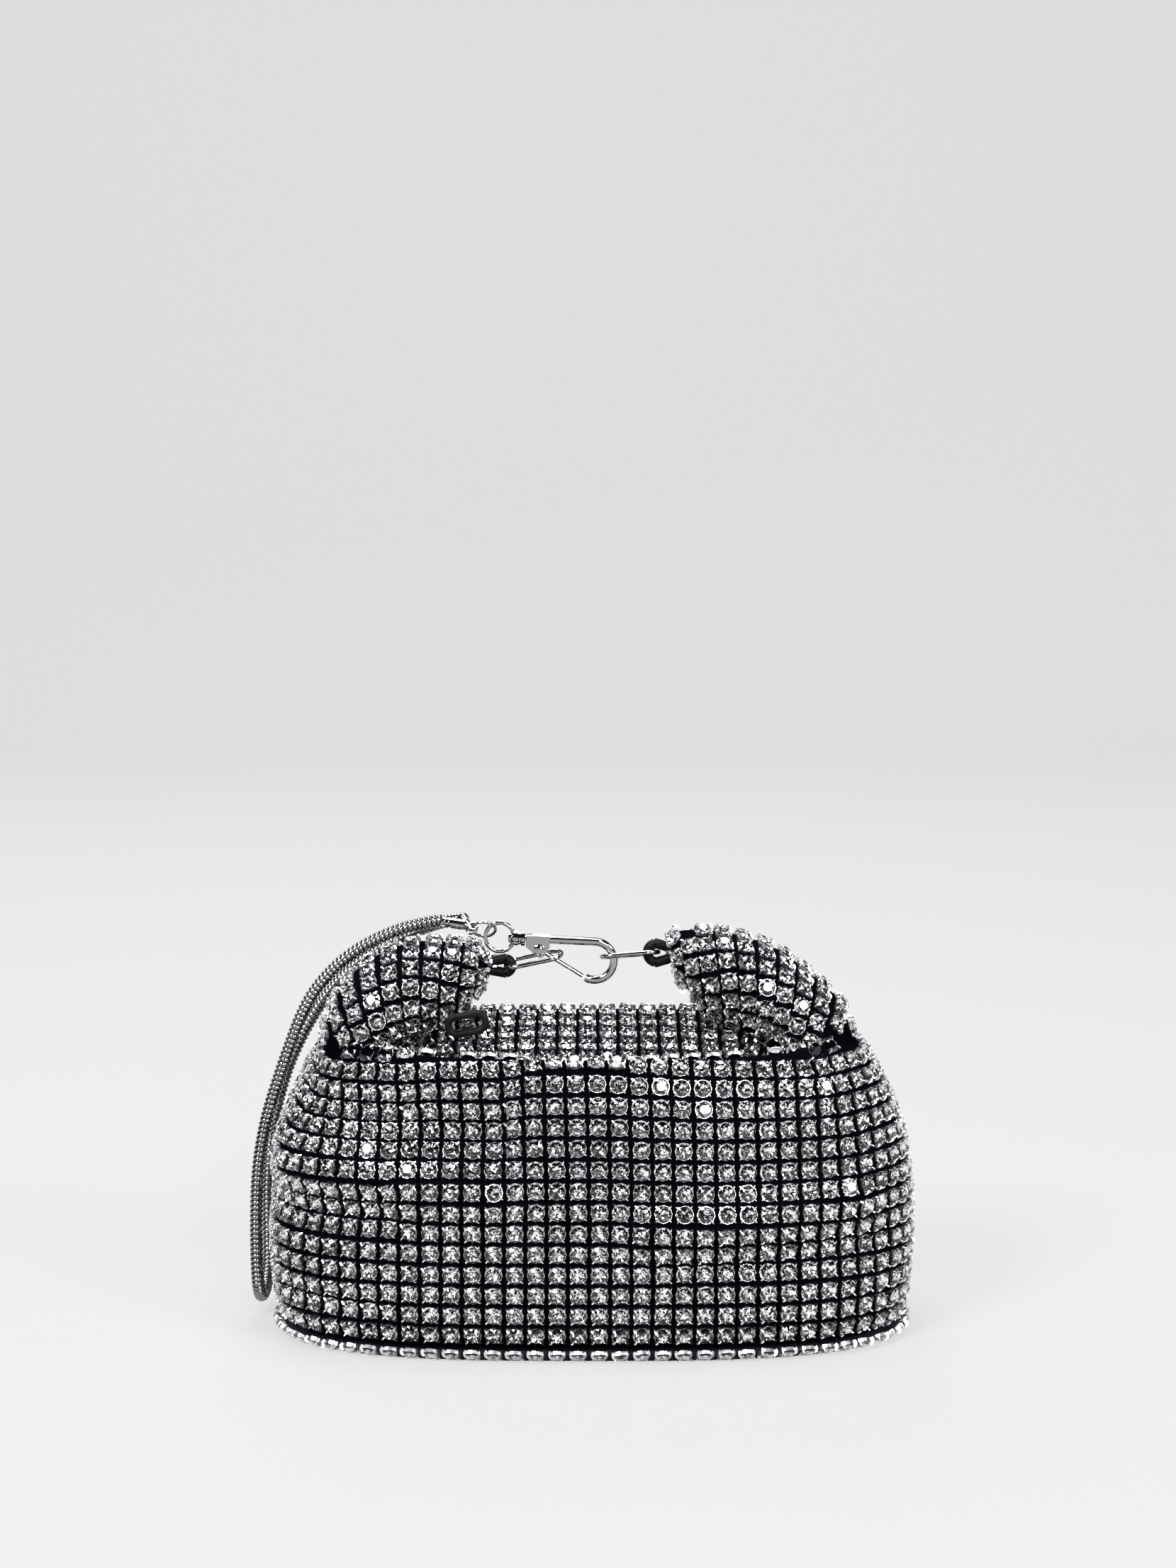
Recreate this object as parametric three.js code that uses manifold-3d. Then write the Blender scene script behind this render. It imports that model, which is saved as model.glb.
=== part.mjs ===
// A soft top-handle pouch in crystal mesh. Its two ends are gathered into ears that curve towards each
// other, and a trigger snap hook joins the ears through leather loops and oval links.
// A snake chain wristlet hangs from the hook's swivel eye. Millimetres, +Z up, front at -Y.
import * as THREE from 'three';
import { mergeVertices } from 'three/addons/utils/BufferGeometryUtils.js';
import Module from 'manifold-3d';

const wasm = await Module();
wasm.setup();

// Driving dimensions of the pouch
const BODY_WIDTH = 192;
const BODY_DEPTH = 94;
const RIM_HEIGHT = 86;
const SHOULDER_HEIGHT = 90;
const FOLD_HEIGHT = 94;
const CLOTH = 3;
const GAP = 0.3;
const BASE_THICKNESS = 2.4;
const CORNER_POWER = 3;
const RIM_POWER = 2.5;
const MOUTH_WIDTH = 8;
const MOUTH_LENGTH = 126;
const MOUTH_SETBACK = 16.5;
const VALLEY_DROP = 7;
const VALLEY_INSET = 1.4;
const VALLEY_END_POWER = 8;
const COVER_END = 0.985;
const COVER_SWELL = 1.2;
const EAR_SETBACK = 43;
const EAR_LEAST = 0.5;
const LEFT_EAR_SPREAD = 29.9;
const LEFT_EAR_TOP = 115.4;
const RIGHT_EAR_RISE = 3.2;

// Driving dimensions of the hardware
const HOOK_REACH = 19.8;
const BOW_RADIUS = 5.7;
const BAR_TALL = 2.4;
const BAR_DEEP = 3.2;
const HOOK_DROOP = 2.7;
const CHEEK_REACH = 6.4;
const CHEEK_DROP = 5.4;
const CHEEK_THICK = 0.8;
const GATE_THICK = 1.3;
const GATE_TALL = 1.2;
const PIN_RADIUS = 0.8;
const PIN_HEAD_RADIUS = 1.7;
const PIN_HEAD_THICK = 0.4;
const POST_RADIUS = 0.85;
const POST_HEAD_RADIUS = 1.45;
const POST_HEAD_THICK = 1;
const HEEL = 0.6;
const COLLAR_RADIUS = 2.3;
const COLLAR_LENGTH = 3.7;
const EYE_RADIUS = 4.25;
const EYE_WIRE = 0.42;
const LINK_LENGTH = 18.2;
const LINK_WIDTH = 8.4;
const LINK_WIRE = 0.7;
const HOOK_START = 11.25;
const HOOK_LIFT = 8.13;
const BOW_LAP = 1.15;
const LEFT_LINK_LAP = 4.1;
const LEFT_LINK_LIFT = 1.93;
const RIGHT_LINK_LAP = 5.45;
const RIGHT_LINK_DROP = 0.5;
const LOOP_CORD = 1.1;
const LEFT_LOOP_REACH = 7.8;
const LEFT_LOOP_TALL = 7;
const RIGHT_LOOP_REACH = 8.6;
const RIGHT_LOOP_TALL = 8.4;
const JUMP_RADIUS = 3.4;
const JUMP_WIRE = 0.45;
const CAP_RADIUS = 1.55;
const CAP_LENGTH = 7;
const TONGUE_THICK = 0.9;
const TONGUE_REACH = 2.3;
const TONGUE_BORE = 1.15;
const TONGUE_STEP = 0.1;
const CHAIN_RADIUS = 2;
const SLIDER_LENGTH = 8;
const SLIDER_THICK = 2;
const SLIDER_LIFT = 2;
const STRIP_WIDTH = 2.4;
const STRIP_THICK = 0.8;
const PULL_LENGTH = 12;
const PULL_TALL = 6.2;
const PULL_WIDTH = 3;
const PULL_THICK = 1.2;

const HALF_WIDTH = BODY_WIDTH / 2;
const HALF_DEPTH = BODY_DEPTH / 2;
const BODY_FLOOR = BASE_THICKNESS + GAP;
const MOUTH_Y = MOUTH_SETBACK - HALF_DEPTH;
const EAR_Y = EAR_SETBACK - HALF_DEPTH;
const RIGHT_EAR_TOP = LEFT_EAR_TOP + RIGHT_EAR_RISE;

// Side, front and back outline of the wall from floor to rim, as shares of the height and half sizes
const WALL = [
  { level: 0, width: 0.955, front: 0.936, back: 0.95 },
  { level: 0.04, width: 0.975, front: 0.962, back: 0.97 },
  { level: 0.12, width: 0.99, front: 0.985, back: 0.99 },
  { level: 0.32, width: 1, front: 1, back: 1 },
  { level: 0.5, width: 0.993, front: 0.99, back: 0.985 },
  { level: 0.68, width: 0.965, front: 0.96, back: 0.92 },
  { level: 0.84, width: 0.905, front: 0.925, back: 0.7 },
  { level: 0.94, width: 0.85, front: 0.885, back: 0.39 },
  { level: 1, width: 0.8, front: 0.84, back: 0.13 },
];

// Ridges and valleys of the slack cloth: ends of each fold's line as shares of the half width and the
// rim height, its width as a share of the rim height and its depth as a share of the body's depth
const FOLDS = [
  { fromX: -0.96, fromZ: 0.47, toX: -0.62, toZ: 0.49, width: 0.07, depth: -0.026 },
  { fromX: -0.9, fromZ: 0.62, toX: -0.3, toZ: 0.56, width: 0.09, depth: 0.026 },
  { fromX: -0.86, fromZ: 0.84, toX: -0.3, toZ: 0.76, width: 0.11, depth: -0.045 },
  { fromX: -0.9, fromZ: 0.19, toX: -0.62, toZ: 0.15, width: 0.035, depth: -0.014 },
  { fromX: 0.15, fromZ: 0.42, toX: 0.78, toZ: 0.52, width: 0.065, depth: 0.022 },
  { fromX: 0.3, fromZ: 0.3, toX: 0.85, toZ: 0.38, width: 0.065, depth: -0.018 },
];

// Sections of the ears from tip to root. across is a share of the way from the tip to the half width,
// up and tall are shares of the ear's top, deep is a share of the half depth, and tilt leans the
// section outwards in degrees
const LEFT_EAR = [
  { across: 0, up: 0.9200, tilt: -8, tall: 0.019, deep: 0.055 },
  { across: 0.012, up: 0.9130, tilt: -10, tall: 0.044, deep: 0.12 },
  { across: 0.053, up: 0.9020, tilt: -11, tall: 0.074, deep: 0.195 },
  { across: 0.116, up: 0.8900, tilt: -9, tall: 0.106, deep: 0.277 },
  { across: 0.213, up: 0.8740, tilt: -5, tall: 0.126, deep: 0.33 },
  { across: 0.319, up: 0.8544, tilt: 0, tall: 0.1456, deep: 0.372 },
  { across: 0.425, up: 0.8215, tilt: 8, tall: 0.158, deep: 0.415 },
  { across: 0.524, up: 0.7626, tilt: 20, tall: 0.166, deep: 0.457 },
  { across: 0.582, up: 0.6846, tilt: 34, tall: 0.16, deep: 0.44 },
  { across: 0.586, up: 0.5979, tilt: 50, tall: 0.135, deep: 0.4 },
  { across: 0.55, up: 0.5026, tilt: 62, tall: 0.09, deep: 0.3 },
];
const RIGHT_EAR = [
  { across: 0, up: 0.9275, tilt: -8, tall: 0.0186, deep: 0.055 },
  { across: 0.013, up: 0.9190, tilt: -10, tall: 0.063, deep: 0.149 },
  { across: 0.053, up: 0.9047, tilt: -11, tall: 0.0953, deep: 0.223 },
  { across: 0.123, up: 0.8853, tilt: -10, tall: 0.118, deep: 0.287 },
  { across: 0.212, up: 0.8685, tilt: -8, tall: 0.1315, deep: 0.33 },
  { across: 0.309, up: 0.8466, tilt: -4, tall: 0.14, deep: 0.362 },
  { across: 0.406, up: 0.8128, tilt: 4, tall: 0.145, deep: 0.404 },
  { across: 0.496, up: 0.7546, tilt: 14, tall: 0.15, deep: 0.447 },
  { across: 0.578, up: 0.6788, tilt: 28, tall: 0.16, deep: 0.44 },
  { across: 0.609, up: 0.5902, tilt: 45, tall: 0.14, deep: 0.4 },
  { across: 0.582, up: 0.489, tilt: 60, tall: 0.09, deep: 0.3 },
];

// The hardware lies in a row from the left ear's tip, and the right ear's tip lies where it ends
const LEFT_TIP = LEFT_EAR[0].up * LEFT_EAR_TOP;
const RIGHT_TIP = RIGHT_EAR[0].up * RIGHT_EAR_TOP;
const HOOK_PLACE = new THREE.Vector3(HOOK_START - LEFT_EAR_SPREAD, EAR_Y, LEFT_TIP + HOOK_LIFT);
const LEFT_LINK_PLACE = {
  x: LEFT_LOOP_REACH + LINK_LENGTH / 2 - LEFT_LINK_LAP - LEFT_EAR_SPREAD,
  z: LEFT_TIP + LEFT_LINK_LIFT,
  rise: 12.2,
  roll: 10,
};
const RIGHT_LINK_PLACE = {
  x: HOOK_PLACE.x + HOOK_REACH + LINK_LENGTH / 2 + BOW_LAP,
  z: RIGHT_TIP - RIGHT_LINK_DROP,
  rise: 5,
  roll: -12,
};
const RIGHT_EAR_SPREAD = RIGHT_LINK_PLACE.x + LINK_LENGTH / 2 + RIGHT_LOOP_REACH - RIGHT_LINK_LAP;
const JUMP_PLACE = HOOK_PLACE.clone().add(new THREE.Vector3(-13.05, 0, 2.7));
const JUMP_LEAN = 44;
// Each end cap hangs on the jump ring at a turn round it, and points along its aim
const FRONT_CAP = { turn: 154, aim: JUMP_PLACE.clone().add(new THREE.Vector3(-12.9, 0, 2.4)) };
const BACK_CAP = { turn: 192, aim: JUMP_PLACE.clone().add(new THREE.Vector3(-6.9, 9.6, 1.4)) };
const SLIDER_X = -36.8;
const PULL_PLACE = { x: SLIDER_X + 1.2, y: MOUTH_Y + 3, z: RIM_HEIGHT - VALLEY_DROP + 14.4, rise: 10 };

// The wristlet's chain hangs free from the front cap down the left side and up behind to the back cap
const CHAIN_ROUTE = [
  [-47.5, -4, 119.2], [-56, -4, 117.2], [-64.7, -4.2, 113.5], [-71.8, -4.5, 109], [-77.5, -5, 103.8],
  [-82, -5.5, 98.2], [-85.5, -6, 91.7], [-88.2, -6.5, 84.8], [-91.6, -7.2, 75.2], [-95.8, -8, 61.5],
  [-98.3, -8.6, 47.6], [-99.1, -9, 34.1], [-99.2, -9, 20.8], [-99, -8.2, 12.5], [-98.9, -4.5, 7.2],
  [-98.9, 2, 5.4], [-98.9, 9, 7], [-99, 14, 12.8], [-99.2, 16.2, 24], [-99, 17, 38], [-97.4, 18, 54],
  [-93.6, 19.5, 69], [-88.4, 20.8, 81], [-81.6, 21.2, 92], [-73, 20.6, 101.4], [-62.5, 19, 108.6],
  [-52, 16.2, 113.8], [-44, 11.8, 117],
];

// How finely the pouch is faceted
const WALL_SIDES = 72;
const WALL_LEVELS = 15;
const TOP_RINGS = 5;
const LINING_SIDES = 48;
const LINING_LEVELS = 9;
const LINING_TOP_RINGS = 4;
const LEVEL_POWER = 0.92;
const EAR_SIDES = 20;
const EAR_LINING_SIDES = 14;

const radians = THREE.MathUtils.degToRad;

// Reads a table's column between its rows with a smooth curve through them
function read(table, key, column, at) {
  let row = 1;
  while (row < table.length - 1 && table[row][key] < at) {
    row += 1;
  }
  const low = table[row - 1];
  const high = table[row];
  const before = table[Math.max(row - 2, 0)];
  const after = table[Math.min(row + 1, table.length - 1)];
  const span = high[key] - low[key];
  const share = (at - low[key]) / span;
  const slopeLow = (high[column] - before[column]) / (high[key] - before[key]) * span;
  const slopeHigh = (after[column] - low[column]) / (after[key] - low[key]) * span;
  const square = share * share;
  const cube = square * share;
  return low[column] * (2 * cube - 3 * square + 1) + slopeLow * (cube - 2 * square + share)
    + high[column] * (3 * square - 2 * cube) + slopeHigh * (cube - square);
}

// Cosine and sine of an angle, squared off towards a rounded rectangle
function squared(angle, power) {
  const round = (value) => Math.sign(value) * Math.abs(value) ** (2 / power);
  return { across: round(Math.cos(angle)), along: round(Math.sin(angle)) };
}

function distanceToSegment(x, z, fold) {
  const ax = fold.fromX * HALF_WIDTH;
  const az = fold.fromZ * RIM_HEIGHT;
  const bx = fold.toX * HALF_WIDTH - ax;
  const bz = fold.toZ * RIM_HEIGHT - az;
  const share = THREE.MathUtils.clamp(((x - ax) * bx + (z - az) * bz) / (bx * bx + bz * bz), 0, 1);
  return Math.hypot(x - ax - share * bx, z - az - share * bz);
}

// How far the folds push the front cloth out at a place on it
function foldDepth(x, z, facing) {
  let push = 0;
  for (const fold of FOLDS) {
    const away = distanceToSegment(x, z, fold) / (fold.width * RIM_HEIGHT);
    push += fold.depth * BODY_DEPTH * Math.exp(-away * away);
  }
  return push * facing;
}

// A point of the wall: angle runs round the pouch, level from the floor to the rim
function wallPoint(angle, level, inset) {
  const plan = squared(angle, CORNER_POWER);
  const ahead = Math.max(-plan.along, 0) ** RIM_POWER;
  const behind = Math.max(plan.along, 0) ** RIM_POWER;
  const rim = SHOULDER_HEIGHT + (RIM_HEIGHT - SHOULDER_HEIGHT) * ahead
    + (FOLD_HEIGHT - SHOULDER_HEIGHT) * behind - inset;
  const floor = BODY_FLOOR + inset;
  const z = floor + (rim - floor) * level;
  const x = (HALF_WIDTH * read(WALL, 'level', 'width', level) - inset) * plan.across;
  const side = plan.along < 0 ? 'front' : 'back';
  const depth = Math.max(HALF_DEPTH * read(WALL, 'level', side, level) - inset, CLOTH);
  const facing = Math.min(Math.max(-plan.along, 0) * 2, 1) * Math.sin(Math.PI * level) ** 0.5;
  const push = foldDepth(x, z, facing);
  const y = depth * plan.along - push * Math.max(-plan.along, 0);
  return new THREE.Vector3(x + push * plan.across * Math.abs(plan.across), y, z);
}

// A point of the top between the rim and the valley where the mouth lies
function topPoint(angle, share, inset) {
  const rim = wallPoint(angle, 1, inset);
  const reach = MOUTH_LENGTH / 2 + MOUTH_WIDTH;
  const x = rim.x / (1 + Math.abs(rim.x / reach) ** VALLEY_END_POWER) ** (1 / VALLEY_END_POWER);
  const valley = new THREE.Vector3(x, MOUTH_Y, RIM_HEIGHT - VALLEY_DROP - VALLEY_INSET * inset);
  const point = rim.clone().lerp(valley, share);
  point.z += COVER_SWELL * Math.sin(Math.PI * share);
  return point;
}

// Joins rings of points into one closed surface, with each end closed by a fan
function loft(rings) {
  const count = rings[0].length;
  const points = rings.flat();
  const faces = [];
  for (let ring = 0; ring < rings.length - 1; ring += 1) {
    for (let side = 0; side < count; side += 1) {
      const a = ring * count + side;
      const b = ring * count + (side + 1) % count;
      faces.push(a, b, b + count, a, b + count, a + count);
    }
  }
  const closeEnd = (ring, flip) => {
    const centre = ring.reduce((sum, point) => sum.add(point), new THREE.Vector3()).divideScalar(count);
    const start = points.indexOf(ring[0]);
    points.push(centre);
    for (let side = 0; side < count; side += 1) {
      const pair = [start + side, start + (side + 1) % count];
      faces.push(points.length - 1, pair[flip ? 0 : 1], pair[flip ? 1 : 0]);
    }
  };
  closeEnd(rings[0], false);
  closeEnd(rings[rings.length - 1], true);
  return surface(points, faces);
}

// Joins rings of points into one closed surface whose last ring meets the first
function ringLoft(rings) {
  const count = rings[0].length;
  const faces = [];
  for (let ring = 0; ring < rings.length; ring += 1) {
    const next = (ring + 1) % rings.length;
    for (let side = 0; side < count; side += 1) {
      const turn = (side + 1) % count;
      const a = ring * count + side;
      const b = ring * count + turn;
      faces.push(a, b, next * count + turn, a, next * count + turn, next * count + side);
    }
  }
  return surface(rings.flat(), faces);
}

function surface(points, faces) {
  const geometry = new THREE.BufferGeometry();
  geometry.setAttribute('position', new THREE.Float32BufferAttribute(points.flatMap((p) => p.toArray()), 3));
  geometry.setIndex(faces);
  return geometry;
}

// A closed geometry as a solid for joining and cutting
function solid(geometry) {
  const bare = geometry.clone();
  bare.deleteAttribute('normal');
  bare.deleteAttribute('uv');
  const merged = mergeVertices(bare, 1e-4);
  const made = new wasm.Manifold(new wasm.Mesh({
    numProp: 3,
    vertProperties: new Float32Array(merged.attributes.position.array),
    triVerts: new Uint32Array(merged.index.array),
  }));
  if (made.volume() >= 0) {
    return made;
  }
  const index = Array.from(merged.index.array);
  for (let face = 0; face < index.length; face += 3) {
    [index[face + 1], index[face + 2]] = [index[face + 2], index[face + 1]];
  }
  return new wasm.Manifold(new wasm.Mesh({
    numProp: 3,
    vertProperties: new Float32Array(merged.attributes.position.array),
    triVerts: new Uint32Array(index),
  }));
}

function geometryOf(made) {
  const mesh = made.getMesh();
  const geometry = new THREE.BufferGeometry();
  geometry.setAttribute('position', new THREE.BufferAttribute(mesh.vertProperties, 3));
  geometry.setIndex(new THREE.BufferAttribute(mesh.triVerts, 1));
  return geometry;
}

function outward(geometry) {
  return geometryOf(solid(geometry));
}

function material(color, roughness, metalness) {
  return new THREE.MeshStandardMaterial({ color, roughness, metalness });
}

const CRYSTAL_CLOTH = material(0xb9bbbd, 0.35, 0.3);
const BLACK_PANEL = material(0x14151a, 0.7, 0);
const BLACK_LEATHER = material(0x111114, 0.45, 0);
const CHROME = material(0xc9cbce, 0.16, 1);
const GUNMETAL = material(0x3c3d40, 0.3, 1);

function piece(name, geometry, look) {
  const mesh = new THREE.Mesh(geometry, look);
  mesh.name = name;
  return mesh;
}

// Pouch
function pouchSurface(inset, around, levels, top) {
  const rings = [];
  const ringAt = (point) => Array.from({ length: around }, (_, side) => point(2 * Math.PI * side / around));
  for (let step = 0; step <= levels; step += 1) {
    rings.push(ringAt((angle) => wallPoint(angle, (step / levels) ** LEVEL_POWER, inset)));
  }
  for (let step = 1; step <= top; step += 1) {
    rings.push(ringAt((angle) => topPoint(angle, COVER_END * step / top, inset)));
  }
  return loft(rings);
}

function earSurface(table, side, spread, top, inset, around) {
  return loft(table.map((row) => {
    const tilt = radians(row.tilt);
    const tall = Math.max(row.tall * top - inset, EAR_LEAST);
    const deep = Math.max(row.deep * HALF_DEPTH - inset, EAR_LEAST);
    return Array.from({ length: around }, (_, step) => {
      const angle = 2 * Math.PI * step / around;
      const up = tall * Math.cos(angle);
      const across = spread + row.across * (HALF_WIDTH - spread) + up * Math.sin(tilt);
      return new THREE.Vector3(side * across, EAR_Y + deep * Math.sin(angle), row.up * top + up * Math.cos(tilt));
    });
  }));
}

function mouthCut() {
  const shape = new THREE.Shape();
  const half = MOUTH_WIDTH / 2;
  const straight = MOUTH_LENGTH / 2 - half;
  shape.moveTo(-straight, -half);
  shape.lineTo(straight, -half);
  shape.absarc(straight, 0, half, -Math.PI / 2, Math.PI / 2, false);
  shape.lineTo(-straight, half);
  shape.absarc(-straight, 0, half, Math.PI / 2, 1.5 * Math.PI, false);
  const cut = new THREE.ExtrudeGeometry(shape, { depth: 4 * VALLEY_DROP, bevelEnabled: false, curveSegments: 4 });
  cut.translate(0, MOUTH_Y, RIM_HEIGHT - 3 * VALLEY_DROP);
  return cut;
}

function pouch() {
  let made = solid(pouchSurface(0, WALL_SIDES, WALL_LEVELS, TOP_RINGS))
    .add(solid(earSurface(LEFT_EAR, -1, LEFT_EAR_SPREAD, LEFT_EAR_TOP, 0, EAR_SIDES)))
    .add(solid(earSurface(RIGHT_EAR, 1, RIGHT_EAR_SPREAD, RIGHT_EAR_TOP, 0, EAR_SIDES)));
  const hollow = solid(pouchSurface(CLOTH, LINING_SIDES, LINING_LEVELS, LINING_TOP_RINGS))
    .add(solid(earSurface(LEFT_EAR.slice(2), -1, LEFT_EAR_SPREAD, LEFT_EAR_TOP, CLOTH, EAR_LINING_SIDES)))
    .add(solid(earSurface(RIGHT_EAR.slice(2), 1, RIGHT_EAR_SPREAD, RIGHT_EAR_TOP, CLOTH, EAR_LINING_SIDES)));
  made = made.subtract(hollow).subtract(solid(mouthCut()));
  return piece('pouch', geometryOf(made), CRYSTAL_CLOTH);
}

function basePanel() {
  const ringAt = (z, share) => Array.from({ length: LINING_SIDES }, (_, side) => {
    const plan = squared(2 * Math.PI * side / LINING_SIDES, CORNER_POWER);
    const depth = plan.along < 0 ? WALL[0].front : WALL[0].back;
    return new THREE.Vector3(
      HALF_WIDTH * WALL[0].width * share * plan.across,
      HALF_DEPTH * depth * share * plan.along,
      z,
    );
  });
  return piece('base_panel', outward(loft([ringAt(0, 0.985), ringAt(BASE_THICKNESS, 1)])), BLACK_PANEL);
}

// Round bars and bent bars
function cylinder(radius, length, sides) {
  return new THREE.CylinderGeometry(radius, radius, length, sides);
}

function alongX(geometry, start, length) {
  return geometry.rotateZ(Math.PI / 2).translate(start + length / 2, 0, 0);
}

// A bar swept along a path in the XZ plane; tall is across the path, deep along Y
function sweptBar(path, tall, deep, sides, closed) {
  const rings = path.map((point, step) => {
    const before = closed ? path[(step + path.length - 1) % path.length] : path[Math.max(step - 1, 0)];
    const after = closed ? path[(step + 1) % path.length] : path[Math.min(step + 1, path.length - 1)];
    const along = new THREE.Vector2(after.x - before.x, after.y - before.y).normalize();
    return Array.from({ length: sides }, (_, side) => {
      const angle = 2 * Math.PI * (side + 0.5) / sides;
      const out = tall * Math.cos(angle);
      return new THREE.Vector3(point.x - along.y * out, deep * Math.sin(angle), point.y + along.x * out);
    });
  });
  return outward(closed ? ringLoft(rings) : loft(rings));
}

function arcPoints(x, z, radius, from, to, steps) {
  return Array.from({ length: steps + 1 }, (_, step) => {
    const angle = radians(from + (to - from) * step / steps);
    return new THREE.Vector2(x + radius * Math.cos(angle), z + radius * Math.sin(angle));
  });
}

// Hook, in its own frame: the post leaves to -X, the bow lies at +X and the gate closes it from below
const PIVOT = new THREE.Vector2(3.4, -3.1);
const BOW_END = -116;
const BOW_TIP = arcPoints(HOOK_REACH, -BOW_RADIUS, BOW_RADIUS, BOW_END, BOW_END, 1)[0];
const SLOT = GATE_THICK + 2 * GAP;
const CHEEK_DEEP = SLOT + 2 * CHEEK_THICK;

function hookFrame() {
  const path = [
    new THREE.Vector2(0, 0),
    new THREE.Vector2(HOOK_REACH / 2, 0),
    ...arcPoints(HOOK_REACH, -BOW_RADIUS, BOW_RADIUS, 90, BOW_END, 14),
  ];
  const bow = solid(sweptBar(path, BAR_TALL / 2, BAR_DEEP / 2, 10, false));
  const outline = new THREE.Shape();
  outline.moveTo(-HEEL, BAR_TALL / 2);
  outline.lineTo(CHEEK_REACH, BAR_TALL / 2);
  outline.lineTo(CHEEK_REACH, -BAR_TALL);
  outline.absarc(PIVOT.x, PIVOT.y, CHEEK_DROP + PIVOT.y, 0, -Math.PI / 2, true);
  outline.lineTo(-HEEL, -COLLAR_RADIUS);
  const cheeks = new THREE.ExtrudeGeometry(outline, { depth: CHEEK_DEEP, bevelEnabled: false, curveSegments: 5 });
  cheeks.rotateX(Math.PI / 2).translate(0, CHEEK_DEEP / 2, 0);
  const slot = new THREE.BoxGeometry(2 * CHEEK_REACH, SLOT, 2 * CHEEK_DROP);
  slot.translate(CHEEK_REACH + PIVOT.x - PIN_HEAD_RADIUS - GAP, 0, -CHEEK_DROP - BAR_TALL / 2);
  const bore = cylinder(PIN_RADIUS + GAP, 2 * CHEEK_DEEP, 12).translate(PIVOT.x, 0, PIVOT.y);
  const postLength = GAP + COLLAR_LENGTH + GAP + POST_HEAD_THICK;
  const post = alongX(cylinder(POST_RADIUS, postLength + HEEL, 12), -postLength - HEEL, postLength + HEEL);
  const head = alongX(cylinder(POST_HEAD_RADIUS, POST_HEAD_THICK, 12), -postLength - HEEL, POST_HEAD_THICK);
  return bow.add(solid(cheeks)).subtract(solid(slot)).subtract(solid(bore)).add(solid(post)).add(solid(head));
}

function hookGate() {
  const tip = BOW_TIP.clone();
  const along = tip.clone().sub(PIVOT);
  const length = along.length() - GAP - BAR_TALL / 4;
  along.normalize();
  const end = PIVOT.clone().addScaledVector(along, length);
  const boss = cylinder(PIN_HEAD_RADIUS - GAP, GATE_THICK, 14).translate(PIVOT.x, 0, PIVOT.y);
  const bar = solid(sweptBar([PIVOT, end], GATE_TALL / 2, GATE_THICK / 2, 8, false));
  const bore = cylinder(PIN_RADIUS + GAP, 2 * GATE_THICK, 12).translate(PIVOT.x, 0, PIVOT.y);
  return bar.add(solid(boss)).subtract(solid(bore));
}

function gatePin() {
  const length = CHEEK_DEEP + 2 * GAP + 2 * PIN_HEAD_THICK;
  const shank = solid(cylinder(PIN_RADIUS, length, 12));
  const headAt = (side) => solid(cylinder(PIN_HEAD_RADIUS, PIN_HEAD_THICK, 14)
    .translate(0, side * (length - PIN_HEAD_THICK) / 2, 0));
  return shank.add(headAt(-1)).add(headAt(1)).translate([PIVOT.x, 0, PIVOT.y]);
}

function swivelEye() {
  const start = -HEEL - GAP - COLLAR_LENGTH;
  const collar = solid(alongX(cylinder(COLLAR_RADIUS, COLLAR_LENGTH, 16), start, COLLAR_LENGTH));
  const ring = solid(new THREE.TorusGeometry(EYE_RADIUS, EYE_WIRE, 6, 20).rotateX(Math.PI / 2)
    .translate(start - EYE_RADIUS + EYE_WIRE, 0, 0));
  const bore = solid(alongX(cylinder(POST_RADIUS + GAP, 2 * COLLAR_LENGTH, 12), start, 2 * COLLAR_LENGTH));
  const room = solid(alongX(cylinder(POST_HEAD_RADIUS + GAP, EYE_RADIUS, 12), start - EYE_RADIUS, EYE_RADIUS));
  return ring.add(collar).subtract(bore).subtract(room);
}

function hookGroup() {
  const group = new THREE.Group();
  group.position.copy(HOOK_PLACE);
  group.rotation.y = radians(HOOK_DROOP);
  group.add(piece('hook_frame', geometryOf(hookFrame()), CHROME));
  group.add(piece('hook_gate', geometryOf(hookGate()), CHROME));
  group.add(piece('gate_pin', geometryOf(gatePin()), CHROME));
  group.add(piece('swivel_eye', geometryOf(swivelEye()), CHROME));
  return group;
}

// Links and loops
function link(name, place) {
  const radius = LINK_WIDTH / 2 - LINK_WIRE;
  const straight = LINK_LENGTH / 2 - LINK_WIRE - radius;
  const path = [
    ...arcPoints(straight, 0, radius, -90, 90, 6),
    ...arcPoints(-straight, 0, radius, 90, 270, 6),
  ];
  const mesh = piece(name, sweptBar(path, LINK_WIRE, LINK_WIRE, 6, true), CHROME);
  mesh.rotation.order = 'YXZ';
  mesh.rotation.set(radians(90 + place.roll), radians(-place.rise), 0);
  mesh.position.set(place.x, EAR_Y, place.z);
  return mesh;
}

function tabLoop(name, side, spread, tip, reach, tall) {
  const radius = tall / 2 - LOOP_CORD;
  const start = side * spread;
  const far = start - side * (reach - LOOP_CORD - radius);
  const root = start - side * (GAP + LOOP_CORD);
  const apart = LOOP_CORD + GAP / 2;
  const turn = side > 0 ? [90, 270] : [90, -90];
  const bow = arcPoints(far, 0, radius, turn[0], turn[1], 10);
  const path = [new THREE.Vector2(root, apart), ...bow, new THREE.Vector2(root, -apart)];
  const mesh = piece(name, sweptBar(path, LOOP_CORD, LOOP_CORD, 8, false), BLACK_LEATHER);
  mesh.position.set(0, EAR_Y, tip);
  return mesh;
}

// Wristlet
const JUMP_UP = new THREE.Vector3(0, -Math.sin(radians(JUMP_LEAN)), Math.cos(radians(JUMP_LEAN)));

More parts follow.
